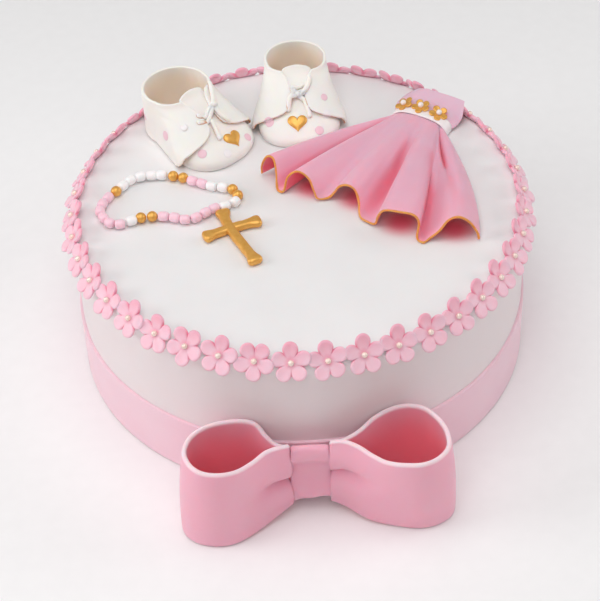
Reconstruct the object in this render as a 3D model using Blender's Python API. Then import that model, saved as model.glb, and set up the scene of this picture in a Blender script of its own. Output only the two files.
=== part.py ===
"""A round christening cake, iced and dressed with sugar paste pieces.

Lengths are in metres and +Z is up. The origin is the centre of the cake's flat
underside. The bow stands in front of the cake, on the -Y side, on the same level.
Each separate sugar piece is one object. Round about, the pieces keep a small gap
to what they lie on.
"""
from math import cos, pi, radians, sin

import bmesh
import bpy
import numpy as np
from mathutils import Matrix, Vector

MM = 0.001
GAP = 0.35 * MM

# Driving sizes of the cake and its border
CAKE_RADIUS = 126.0 * MM
CAKE_HEIGHT = 96.0 * MM
CAKE_EDGE_ROUNDING = 5.0 * MM
TURN_STEPS = 72
RIBBON_HEIGHT = 38.0 * MM
RIBBON_THICKNESS = 1.1 * MM
RIBBON_FOOT = 0.5 * MM
BLOSSOM_COUNT = 42
BLOSSOM_FIRST_ANGLE = radians(-93.3)
BLOSSOM_REACH = 9.15 * MM
BLOSSOM_PETAL_RADIUS = 3.45 * MM
BLOSSOM_THICKNESS = 1.9 * MM
BLOSSOM_PEARL_RADIUS = 2.0 * MM

# Driving sizes of the bow
BOW_STRIP_THICKNESS = 2.6 * MM
BOW_KNOT_LEFT = -9.6 * MM
BOW_KNOT_RIGHT = 10.2 * MM

# Driving sizes of the rosary
BEAD_RADIUS = 3.0 * MM
BEAD_COUNT = 31
CROSS_THICKNESS = 4.6 * MM

# Driving sizes of the dress, and the middle of its waist on the icing
DRESS_WAIST = (70.5 * MM, 58.0 * MM)
DRESS_TURN = radians(-31.5)
SKIRT_THICKNESS = 2.0 * MM
SKIRT_TOP = 2.2 * MM
BODICE_THICKNESS = 2.0 * MM
SASH_MIDDLE = 5.9 * MM
SASH_HALF_WIDTH = 2.7 * MM

# Driving sizes of a bootee, in its own frame: toe along +Y, heights above the icing
BOOTEE_WALL = 2.0 * MM
BOOTEE_SOLE_THICKNESS = 1.5 * MM
TONGUE_RISE = 2.2 * MM
LACE_RADIUS = 1.1 * MM


def clear_scene():
    """Remove every object of the opened file."""
    for old in list(bpy.data.objects):
        bpy.data.objects.remove(old, do_unlink=True)


def icing_material(name, colour, roughness, metallic=0.0):
    """A Principled material of one colour, given as linear red, green and blue."""
    material = bpy.data.materials.new(name)
    material.use_nodes = True
    shader = material.node_tree.nodes["Principled BSDF"]
    shader.inputs["Base Color"].default_value = (*colour, 1.0)
    shader.inputs["Roughness"].default_value = roughness
    shader.inputs["Metallic"].default_value = metallic
    return material


def add_object(name, mesh, material):
    """Link a mesh into the scene as a smooth shaded object."""
    if not mesh.materials:
        mesh.materials.append(material)
    mesh.shade_smooth()
    mesh.set_sharp_from_angle(angle=radians(42))
    obj = bpy.data.objects.new(name, mesh)
    bpy.context.scene.collection.objects.link(obj)
    return obj


def mesh_from(name, vertices, faces):
    """A mesh of the listed vertices and faces, with its faces turned outward."""
    mesh = bpy.data.meshes.new(name)
    mesh.from_pydata([tuple(v) for v in vertices], [], faces)
    shell = bmesh.new()
    shell.from_mesh(mesh)
    bmesh.ops.remove_doubles(shell, verts=shell.verts, dist=0.01 * MM)
    bmesh.ops.recalc_face_normals(shell, faces=shell.faces)
    shell.to_mesh(mesh)
    shell.free()
    return mesh


def turned_object(name, profile, closed, material):
    """Turn a profile of (radius, height) pairs about +Z, listed down its outer side."""
    mesh = bpy.data.meshes.new(name)
    count = len(profile)
    edges = [(i, i + 1) for i in range(count - 1)]
    if closed:
        edges.append((count - 1, 0))
    mesh.from_pydata([(radius, 0.0, height) for radius, height in profile], edges, [])
    obj = add_object(name, mesh, material)
    turn = obj.modifiers.new("turn", 'SCREW')
    turn.axis = 'Z'
    turn.steps = TURN_STEPS
    turn.render_steps = TURN_STEPS
    turn.use_merge_vertices = True
    turn.merge_threshold = 0.00001
    return obj


def smooth_path(points, count, closed=False):
    """A Catmull-Rom curve through the points, read at evenly spaced distances."""
    points = np.asarray(points, dtype=float)
    if closed:
        before, after = points[-1:], points[:2]
    else:
        before = 2 * points[:1] - points[1:2]
        after = 2 * points[-1:] - points[-2:-1]
    line = np.vstack([before, points, after])
    p0, p1, p2, p3 = line[:-3, None], line[1:-2, None], line[2:-1, None], line[3:, None]
    t = np.linspace(0, 1, 24, endpoint=False)[None, :, None]
    curve = p1 + 0.5 * t * (p2 - p0 + t * (2 * p0 - 5 * p1 + 4 * p2 - p3 + t * (3 * (p1 - p2) + p3 - p0)))
    curve = np.vstack([curve.reshape(-1, points.shape[1]), points[:1] if closed else points[-1:]])
    steps = np.linalg.norm(np.diff(curve, axis=0), axis=1)
    distance = np.concatenate([[0], np.cumsum(steps)])
    wanted = np.linspace(0, distance[-1], count, endpoint=not closed)
    return np.stack([np.interp(wanted, distance, curve[:, k]) for k in range(points.shape[1])], axis=1)


def grid_faces(rows, columns, wrap=False):
    """Quads of a grid of points stored row by row; wrap joins the last column to the first."""
    last = columns if wrap else columns - 1
    return [
        (r * columns + c, r * columns + (c + 1) % columns,
         (r + 1) * columns + (c + 1) % columns, (r + 1) * columns + c)
        for r in range(rows - 1) for c in range(last)
    ]


def sheet_object(name, grid, thickness, material):
    """A thin sheet: the grid is its middle surface, thickened half to each side."""
    rows, columns, _ = grid.shape
    mesh = bpy.data.meshes.new(name)
    mesh.from_pydata([tuple(p) for p in grid.reshape(-1, 3)], [], grid_faces(rows, columns))
    obj = add_object(name, mesh, material)
    wall = obj.modifiers.new("thickness", 'SOLIDIFY')
    wall.thickness = thickness
    wall.offset = 0.0
    return obj


def loft_mesh(name, rings):
    """A closed solid through rings of equal point counts, capped at both ends."""
    rings = np.asarray(rings)
    rows, columns, _ = rings.shape
    faces = grid_faces(rows, columns, wrap=True)
    faces.append(tuple(range(columns))[::-1])
    faces.append(tuple(range((rows - 1) * columns, rows * columns)))
    return mesh_from(name, rings.reshape(-1, 3), faces)


def fuse(base, extras):
    """Join the extra solids to the base by one Boolean union and remove them."""
    group = bpy.data.collections.new(base.name + "_extras")
    bpy.context.scene.collection.children.link(group)
    for extra in extras:
        group.objects.link(extra)
    union = base.modifiers.new("union", 'BOOLEAN')
    union.operation = 'UNION'
    union.solver = 'EXACT'
    union.operand_type = 'COLLECTION'
    union.collection = group
    graph = bpy.context.evaluated_depsgraph_get()
    joined = bpy.data.meshes.new_from_object(base.evaluated_get(graph))
    base.modifiers.clear()
    base.data = joined
    for extra in extras:
        bpy.data.objects.remove(extra, do_unlink=True)
    bpy.data.collections.remove(group)
    joined.shade_smooth()
    joined.set_sharp_from_angle(angle=radians(42))
    return base


# Cake


def make_cake(material):
    """The iced cake: one solid turned from its profile, with a rounded top edge."""
    inner = CAKE_RADIUS - CAKE_EDGE_ROUNDING
    below = CAKE_HEIGHT - CAKE_EDGE_ROUNDING
    profile = [(0.0, CAKE_HEIGHT)]
    for step in range(4):
        angle = pi / 2 * (1 - step / 3)
        profile.append((inner + CAKE_EDGE_ROUNDING * cos(angle), below + CAKE_EDGE_ROUNDING * sin(angle)))
    profile += [(CAKE_RADIUS, 0.0), (0.0, 0.0)]
    return turned_object("cake", profile, False, material)


def make_ribbon(material):
    """The pale band round the foot of the cake: a flat ring just outside the icing."""
    inner = CAKE_RADIUS + GAP
    outer = inner + RIBBON_THICKNESS
    top = RIBBON_FOOT + RIBBON_HEIGHT
    profile = [(outer, top), (outer, RIBBON_FOOT), (inner, RIBBON_FOOT), (inner, top)]
    return turned_object("ribbon", profile, True, material)


# Border of blossoms


def blossom_mesh():
    """A five petal blossom, cupped a little, with a pearl in its middle.

    It lies in its own XY plane with its underside's centre at the origin. Each petal
    is half a circle set on a notch; the outline is joined to a small ring round the
    pearl above, and to one centre point below.
    """
    centre = BLOSSOM_REACH - BLOSSOM_PETAL_RADIUS
    notch = 4.4 * MM
    cup = 1.3 * MM
    outline = []
    for petal in range(5):
        heading = radians(72 * petal)
        outline.append((notch * cos(heading - radians(36)), notch * sin(heading - radians(36))))
        for turn in (-88, -34, 34, 88):
            x = centre + BLOSSOM_PETAL_RADIUS * cos(radians(turn))
            y = BLOSSOM_PETAL_RADIUS * sin(radians(turn))
            outline.append((x * cos(heading) - y * sin(heading), x * sin(heading) + y * cos(heading)))
    lift = [cup * (x * x + y * y) / BLOSSOM_REACH ** 2 for x, y in outline]
    lower = [(x, y, z) for (x, y), z in zip(outline, lift)]
    upper = [(x, y, z + BLOSSOM_THICKNESS) for x, y, z in lower]
    count = len(outline)
    pearl_foot, pearl_waist, pearl_top = count * 2, count * 2 + 5, count * 2 + 10
    vertices = lower + upper
    for radius, height, turn in ((1.5 * MM, 0.0, 36), (BLOSSOM_PEARL_RADIUS, 1.7 * MM, 0)):
        for step in range(5):
            angle = radians(72 * step + turn - 36)
            vertices.append((radius * cos(angle), radius * sin(angle), BLOSSOM_THICKNESS + height))
    vertices += [(0.0, 0.0, BLOSSOM_THICKNESS + 3.4 * MM), (0.0, 0.0, 0.0)]
    under = pearl_top + 1
    faces = []
    for i in range(count):
        j = (i + 1) % count
        faces.append((i, j, count + j, count + i))
        faces.append((j, i, under))
        foot = pearl_foot + (i // 5) % 5
        faces.append((count + i, count + j, foot))
        if i % 5 == 4:
            faces.append((count + j, pearl_foot + (i // 5 + 1) % 5, foot))
    for step in range(5):
        here, there = step, (step + 1) % 5
        faces.append((pearl_foot + here, pearl_foot + there, pearl_waist + there))
        faces.append((pearl_foot + here, pearl_waist + there, pearl_waist + here))
        faces.append((pearl_waist + here, pearl_waist + there, pearl_top))
    return mesh_from("blossom", vertices, faces)


def make_blossoms(material):
    """The blossoms lean on the cake's rounded edge, each facing out and up."""
    mesh = blossom_mesh()
    corner = CAKE_EDGE_ROUNDING * cos(radians(45))
    reach = CAKE_RADIUS - CAKE_EDGE_ROUNDING + corner + GAP * cos(radians(45))
    height = CAKE_HEIGHT - CAKE_EDGE_ROUNDING + corner + GAP * cos(radians(45))
    draws = np.random.default_rng(7)
    for index in range(BLOSSOM_COUNT):
        angle = BLOSSOM_FIRST_ANGLE + 2 * pi * index / BLOSSOM_COUNT
        spin = radians(90 + draws.uniform(-10, 10))
        if draws.random() < 0.2:
            spin += radians(36)
        blossom = add_object(f"flower_{index + 1:02d}", mesh, material)
        turn = Matrix.Rotation(angle + pi / 2, 4, 'Z') @ Matrix.Rotation(radians(45), 4, 'X')
        place = Matrix.Translation((reach * cos(angle), reach * sin(angle), height))
        blossom.matrix_world = place @ turn @ Matrix.Rotation(spin, 4, 'Z')


# Bow


def bow_loop(name, top_edge, foot_edge, dent_ends, material):
    """One loop of the bow: a strip standing on edge, bent round from knot to knot.

    The edges are the strip's outer line at its top and its foot, from the front of
    the knot round to the back. The wall between them bellies out a little, and near
    the knot a crease runs along its middle.
    """
    columns, rows = 32, 5
    top = smooth_path(np.array(top_edge) * MM, columns)
    foot = smooth_path(np.array(foot_edge) * MM, columns)
    foot[:, 2] += GAP
    along = np.linspace(0, 1, columns)
    tangent = np.gradient(0.5 * (top + foot), axis=0)
    outward = np.stack([tangent[:, 1], -tangent[:, 0], 0 * tangent[:, 0]], axis=1)
    outward /= np.linalg.norm(outward, axis=1, keepdims=True)
    middle = 0.5 * (top + foot).mean(axis=0)
    facing = np.sign(((0.5 * (top + foot) - middle) * outward).sum())
    outward *= facing
    dent = dent_ends[0] * np.exp(-(along / 0.10) ** 2) + dent_ends[1] * np.exp(-((1 - along) / 0.10) ** 2)
    belly = 1.2 * MM * np.sin(pi * along)
    grid = []
    for level in np.linspace(0, 1, rows):
        bulge = 4 * level * (1 - level) * belly - np.exp(-((level - 0.5) / 0.2) ** 2) * dent * MM
        line = foot + (top - foot) * level
        grid.append(line + outward * (bulge - BOW_STRIP_THICKNESS / 2)[:, None])
    return sheet_object(name, np.array(grid), BOW_STRIP_THICKNESS, material)


def make_bow(material):
    """Two loops and the knot between them, standing on the level of the cake's foot."""
    left_top = [(-9.95, -138.9, 48.6), (-20.6, -144.2, 51.0), (-28.6, -151.4, 50.8), (-37.1, -158.2, 52.0),
                (-46.7, -161.4, 53.6), (-56, -159.6, 54), (-62.6, -153, 54), (-65.4, -143.5, 54.5),
                (-61.5, -133.2, 55), (-51.6, -126.2, 55.5), (-37, -123.6, 55.5), (-27.2, -124.8, 54.0),
                (-21.6, -128.8, 48.6), (-17, -131.2, 44.2), (-9.95, -133.2, 43.2)]
    left_foot = [(-9.95, -141.2, 5.5), (-19.6, -148.6, 2), (-29.9, -157.0, 0.8), (-40.1, -162.8, 0),
                 (-50.2, -164.3, 0), (-60.5, -161.6, 0), (-67.2, -155.6, 0), (-69, -147, 0),
                 (-65.2, -136.4, 0), (-54, -129.0, 0), (-39, -127.0, 0), (-28, -129.0, 0.4),
                 (-20, -132.0, 2), (-9.95, -132.8, 6)]
    right_top = [(10.65, -138.8, 49.8), (17.6, -140.3, 51.6), (24.6, -143.8, 51.2), (31.4, -149.8, 50.6),
                 (38.7, -156.0, 51.4), (48.1, -160.0, 53.2), (58.3, -160.7, 54), (67, -156.2, 54),
                 (72.8, -147.5, 54.5), (71.2, -134.8, 55.5), (63.2, -122.8, 56), (53.3, -118.6, 56),
                 (43.4, -119.4, 55), (34, -123.0, 52.4), (26, -127.4, 47.6), (18.4, -130.8, 45.2),
                 (10.65, -133.2, 44.2)]
    right_foot = [(10.65, -140.8, 5.5), (18.2, -143.9, 3.6), (26, -149.3, 1.8), (33.5, -153.0, 0.8),
                  (45.9, -156.2, 0), (56.8, -158.0, 0), (66.6, -156.0, 0), (74, -150.6, 0),
                  (76.4, -142.6, 0), (73.4, -131.0, 0), (65.0, -122.6, 0), (54, -121.0, 0),
                  (44.5, -123.2, 0), (35, -128.0, 0.6), (27, -131.6, 1.4), (19, -132.6, 3),
                  (10.65, -132.8, 6)]
    bow_loop("bow_loop_left", left_top, left_foot, (2.2, 0.0), material)
    bow_loop("bow_loop_right", right_top, right_foot, (1.5, 0.0), material)

    section = smooth_path(np.array([(-131.0, 8), (-138.4, 5.2), (-141.6, 8), (-140.6, 20), (-140.0, 32),
                                    (-141.0, 42.6), (-138.8, 47.0), (-134.6, 42.8), (-131.4, 37.6),
                                    (-130.2, 24)]) * MM, 18, closed=True)
    waist = section.mean(axis=0)
    rings = []
    for x, scale in ((BOW_KNOT_LEFT, 0.96), (-5 * MM, 1.0), (5.5 * MM, 1.0), (BOW_KNOT_RIGHT, 0.96)):
        ring = waist + (section - waist) * scale
        rings.append(np.column_stack([np.full(len(ring), x), ring]))
    return add_object("bow_knot", loft_mesh("bow_knot", rings), material)


# Rosary and cross


def make_rosary(material):
    """A closed string of beads: a tube along the string's line that swells at each bead."""
    string_line = [(-100.6, 13.1), (-107.4, 3.5), (-108.4, -7.5), (-99.5, -16), (-85.4, -11.0),
                   (-72, -10.9), (-60, -14.3), (-47.6, -7.0), (-34.6, -1.0), (-34.6, 8.6),
                   (-48.3, 13.5), (-59.6, 19.6), (-74.2, 25.0), (-90.4, 23.6)]
    rings_per_bead, sides = 3, 6
    count = BEAD_COUNT * rings_per_bead
    line = smooth_path(np.array(string_line) * MM, count, closed=True)
    tangent = np.roll(line, -1, axis=0) - np.roll(line, 1, axis=0)
    tangent /= np.linalg.norm(tangent, axis=1, keepdims=True)
    across = np.column_stack([-tangent[:, 1], tangent[:, 0]])
    radius = np.tile([0.96, 0.96, 0.42], BEAD_COUNT) * BEAD_RADIUS
    angle = 2 * pi * (np.arange(sides) + 0.5) / sides
    flat = line[:, None, :] + across[:, None, :] * (radius[:, None] * np.cos(angle))[:, :, None]
    level = CAKE_HEIGHT + GAP + BEAD_RADIUS + radius[:, None] * np.sin(angle)
    rings = np.concatenate([flat, level[:, :, None]], axis=2)
    faces = grid_faces(count, sides, wrap=True)
    last = (count - 1) * sides
    faces += [(last + s, last + (s + 1) % sides, (s + 1) % sides, s) for s in range(sides)]
    return add_object("rosary", mesh_from("rosary", rings.reshape(-1, 3), faces), material)


def make_cross(material):
    """The gilded cross: a flared outline, raised and bevelled, lying on the icing."""
    upper_arm, lower_arm, side_arm = 14.6 * MM, 32.0 * MM, 17.2 * MM
    half_width, half_flare = 2.9 * MM, 3.9 * MM
    outline = []
    for heading, arm in ((0, side_arm), (90, upper_arm), (180, side_arm), (270, lower_arm)):
        shape = [(half_width, -half_width), (arm - 5 * MM, -half_width), (arm - 2 * MM, -half_flare),
                 (arm, -half_width * 0.6), (arm, half_width * 0.6), (arm - 2 * MM, half_flare),
                 (arm - 5 * MM, half_width)]
        turn = radians(heading)
        outline += [(x * cos(turn) - y * sin(turn), x * sin(turn) + y * cos(turn)) for x, y in shape]
    shell = bmesh.new()
    base = shell.faces.new([shell.verts.new((x, y, 0.0)) for x, y in outline])
    raised = bmesh.ops.extrude_face_region(shell, geom=[base])
    top_face = [item for item in raised["geom"] if isinstance(item, bmesh.types.BMFace)]
    bmesh.ops.translate(shell, verts=top_face[0].verts, vec=(0, 0, CROSS_THICKNESS - 1.4 * MM))
    bmesh.ops.inset_region(shell, faces=top_face, thickness=1.3 * MM, depth=1.4 * MM)
    bmesh.ops.recalc_face_normals(shell, faces=shell.faces)
    mesh = bpy.data.meshes.new("cross")
    shell.to_mesh(mesh)
    shell.free()
    cross = add_object("cross", mesh, material)
    cross.location = (-37.2 * MM, -22.6 * MM, CAKE_HEIGHT + GAP)
    cross.rotation_euler = (0, 0, radians(23))
    return cross


# Dress


def dress_place(across, along, height):
    """A place on the dress: across its waist, along it to the neck, and above the icing."""
    middle = Vector((*DRESS_WAIST, CAKE_HEIGHT))
    right = Vector((cos(DRESS_TURN), sin(DRESS_TURN), 0))
    up = Vector((-right.y, right.x, 0))
    return middle + right * across + up * along + Vector((0, 0, height))


def make_skirt(material):
    """The skirt: a thin sheet from the waist's arch to a hem that runs in deep waves.

    Each line down the skirt is straight from waist to hem, but for a bow outward at
    the two sides, a valley left of the middle that fades out toward the waist, and a
    short tuck beside the right hip.
    """
    hem_line = [(-19.8, 24.2, 1.6), (-19.6, 23.4, 8), (-16.6, 21.6, 15.4), (-12.9, 18.2, 16.2),
                (-11.6, 13.8, 9.4), (-11.6, 9.6, 1.9), (-8.2, 7.0, 1.9), (-5.4, 8.6, 10.6),
                (0.2, 7.4, 15.2), (6.0, 4.9, 12.2), (8.8, 1.4, 6), (10.8, -0.6, 1.7),
                (16.8, -0.4, 1.7), (20.2, -0.8, 6), (22.8, -3.0, 11.6), (27.2, -6.0, 14.8),
                (31.2, -7.8, 12.6), (33.0, -10.8, 6.6), (33.4, -17.0, 1.7), (37.2, -21.8, 1.6),
                (41.2, -24.9, 2.4), (42.8, -25.8, 8.4), (46.2, -28.2, 14.4), (54.0, -31.2, 15.4),
                (61.6, -33.3, 14.4), (64.3, -34.2, 9.4), (63.2, -37.4, 2.6), (66.2, -40.4, 1.7),
                (70.0, -38.6, 2.4), (75.0, -38.6, 7), (80.0, -37.2, 13.2), (85.6, -38.2, 15.8),
                (91.4, -38.0, 11.6), (95.4, -39.2, 5.4), (96.4, -40.2, 1.6)]
    columns, rows = 46, 7
    hem = smooth_path(np.array(hem_line) * MM, columns)
    hem[:, 2] += CAKE_HEIGHT
    along = np.linspace(0, 1, columns)
    arch = pi * (along - 0.5)
    waist = np.array([
        dress_place(15.8 * MM * sin(a), SKIRT_TOP, 1.9 * MM + 6.4 * MM * cos(a) ** 0.7)
        for a in arch * 0.999
    ])
    side = np.array([cos(DRESS_TURN), sin(DRESS_TURN)])
    spread = 6.0 * MM * np.exp(-((1 - along) / 0.16) ** 2) - 2.6 * MM * np.exp(-(along / 0.16) ** 2)
    tuck = np.exp(-((along - 0.86) / 0.035) ** 2)
    fading = 1 + 1.4 * np.exp(-((along - 0.36) / 0.06) ** 2)
    grid = []
    for down in np.linspace(0, 1, rows):
        line = waist + (hem - waist) * down
        line[:, 2] = waist[:, 2] + (hem[:, 2] - waist[:, 2]) * down ** fading
        line[:, :2] += side[None, :] * (4 * down * (1 - down) * spread)[:, None]
        line[:, 2] += 2.2 * MM * np.sin(pi * down) * np.sin(pi * along)
        line[:, 2] -= 2.0 * MM * tuck * np.sin(pi * min(1.0, down * 1.3)) ** 2
        line[:, 2] = np.maximum(line[:, 2], CAKE_HEIGHT + GAP + SKIRT_THICKNESS / 2 + 0.1 * MM)
        grid.append(line)
    return sheet_object("dress_skirt", np.array(grid), SKIRT_THICKNESS, material)


def dome_row(half_width, along, height, count):
    """An arch of points over the dress, from the icing on one side to the other."""
    angles = np.linspace(-pi / 2, pi / 2, count)
    return [
        tuple(dress_place(half_width * abs(sin(a)) ** 0.8 * np.sign(a), along, GAP + height * cos(a) ** 0.6))
        for a in angles * 0.9999
    ]


def make_bodice(material):
    """The bodice: a sheet arched over the icing from the sash to its straight neck.

    Its left side lies down all along; its right side lifts toward the neck, whose
    corner stands over the border. Each row is flat in the middle and rolls off to
    its ends by a fourth power.
    """
    stations = ((9.4, 18.4, 17.6, 6.6, 1.7), (13, 20.2, 19.4, 7.2, 2.4), (17.4, 21.2, 20.4, 8.8, 4.8),
                (22, 20.6, 19.2, 9.6, 7.4), (27.6, 18.0, 17.0, 9.8, 9.2))
    columns = 15
    grid = []
    for along, left, right, crest, right_end in stations:
        row = []
        for share in np.linspace(-1, 1, columns):
            reach, end = (left, 1.7) if share < 0 else (right, right_end)
            height = crest - (crest - end) * share ** 4
            row.append(tuple(dress_place(reach * share * MM, along * MM, height * MM)))
        grid.append(row)
    return sheet_object("dress_bodice", np.array(grid), BODICE_THICKNESS, material)


def small_flower(name, reach, thickness, place, material):
    """A low five petal flower of flat facets with a pearl, set at a place on the sash."""
    lower, upper = [], []
    for step in range(10):
        radius = reach if step % 2 == 0 else reach * 0.62
        angle = radians(36 * step + 18)
        lower.append((radius * cos(angle), radius * sin(angle), 0.0))
        upper.append((radius * cos(angle), radius * sin(angle), thickness))
    flower = add_object(name, loft_mesh(name, [lower, upper]), material)
    flower.matrix_world = Matrix.Translation(place)
    return flower


def make_sash(material):
    """The white sash over the waist with three gilded flowers and their pearls."""
    rings = []
    for along, height in ((-SASH_HALF_WIDTH, 9.3 * MM), (0.0, 10.0 * MM), (SASH_HALF_WIDTH, 10.0 * MM)):
        rings.append(dome_row(17.4 * MM, SASH_MIDDLE + along, height, 16))
    sash = add_object("dress_sash", loft_mesh("dress_sash", rings), material)
    extras = []
    for index, (across, height) in enumerate(((-12.8, 8.8), (-2.0, 9.8), (9.6, 9.2))):
        place = dress_place(across * MM, 9.2 * MM, height * MM)
        extras.append(small_flower(f"sash_flower_{index}", 5.3 * MM, 2.0 * MM, place, material))
        pearl = bpy.data.meshes.new("sash_pearl")
        ball = bmesh.new()
        bmesh.ops.create_icosphere(ball, subdivisions=1, radius=1.9 * MM,
                                   matrix=Matrix.Translation(place + Vector((0.1 * MM, 0.2 * MM, 2.6 * MM))))
        ball.to_mesh(pearl)
        ball.free()
        extras.append(add_object(f"sash_pearl_{index}", pearl, material))
    return fuse(sash, extras)


# Bootees

# Each level of the shoe's form: height above the icing, where the front of its outline
# lies, the half width and depth of that rounded front, and how far round the heel
# panel reaches, as a share of the way from the heel to the toe
BOOTEE_LEVELS = np.array([
    (0.5, 33.6, 23.4, 22.2, 0.60),
    (4.6, 34.4, 23.8, 23.0, 0.64),
    (8.2, 30.8, 22.8, 21.8, 0.68),
    (12.2, 24.0, 20.6, 19.8, 0.765),
    (17.4, 16.2, 18.2, 17.4, 0.90),
    (22.4, 8.2, 16.2, 15.2, 0.91),
    (26.7, 0.5, 15.0, 13.6, 0.86),
    (30.1, -3.0, 14.4, 10.4, 0.80),
]) * np.array([MM, MM, MM, MM, 1.0])
HEEL_CENTRE = -15.5 * MM
HEEL_EASE = 0.6 * MM


def bootee_outline(level_index, heel_radius, offset, shares):
    """Points round one level of the form, at shares of the way from heel (0) to toe (1).

    Negative shares go down the left side. The outline is a rounded toe and a round
    heel with straight sides between, moved outward by the offset. The sides are never
    much narrower than the heel, so that the rim runs round it without a step.
    """
    front, half_width, depth = BOOTEE_LEVELS[level_index, 1:4]
    half_width = max(half_width, heel_radius - HEEL_EASE)
    heel = np.linspace(-pi / 2, 0.12, 24)
    heel_points = np.column_stack([(heel_radius + offset) * np.cos(heel),
                                   HEEL_CENTRE + (heel_radius + offset) * np.sin(heel)])
    toe = np.linspace(0.06, pi / 2, 28)
    toe_points = np.column_stack([(half_width + offset) * np.cos(toe) ** 0.82,
                                  front - depth + (depth + offset) * np.sin(toe) ** 0.82])
    side = np.vstack([heel_points, toe_points])
    distance = np.concatenate([[0], np.cumsum(np.linalg.norm(np.diff(side, axis=0), axis=1))])
    wanted = np.abs(shares) * distance[-1]
    x = np.interp(wanted, distance, side[:, 0]) * np.where(np.asarray(shares) < 0, -1, 1)
    return np.column_stack([x, np.interp(wanted, distance, side[:, 1])])


def bootee_outward(ring):
    """Unit directions that point out from an open outline which runs from left to right."""
    way = np.gradient(ring, axis=0)
    out = np.column_stack([way[:, 1], -way[:, 0]])
    return out / np.linalg.norm(out, axis=1, keepdims=True)


def bootee_frame(toe_tip, heading):
    """The matrix of a bootee: its toe tip's place on the cake and the way it points."""
    way = Vector((cos(heading), sin(heading), 0))
    origin = Vector((*toe_tip, 0)) - way * 34 * MM + Vector((0, 0, CAKE_HEIGHT))
    return Matrix.Translation(origin) @ Matrix.Rotation(heading - pi / 2, 4, 'Z')


def instep_height(x, y):
    """Height of the form's upper surface at a place on the toe, between its levels."""
    heights = []
    for row in BOOTEE_LEVELS:
        front, half_width, depth = row[1:4]
        side = min(1.0, abs(x) / half_width)
        heights.append(front - depth * (1 - (1 - side ** 2.4) ** (1 / 2.4)))
    order = np.argsort(heights[1:])
    return float(np.interp(y, np.array(heights[1:])[order], BOOTEE_LEVELS[1:, 0][order]))


def disc_on_form(name, centre, radius, points, height, sunk, tilt, material):
    """A small flat plate such as a dot or a heart, set on the form at a slant."""
    lower = [(radius * x, radius * y, -sunk) for x, y in points]
    upper = [(radius * x, radius * y, height) for x, y in points]
    plate = add_object(name, loft_mesh(name, [lower, upper]), material)
    plate.matrix_world = Matrix.Translation(centre) @ tilt
    return plate


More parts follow.
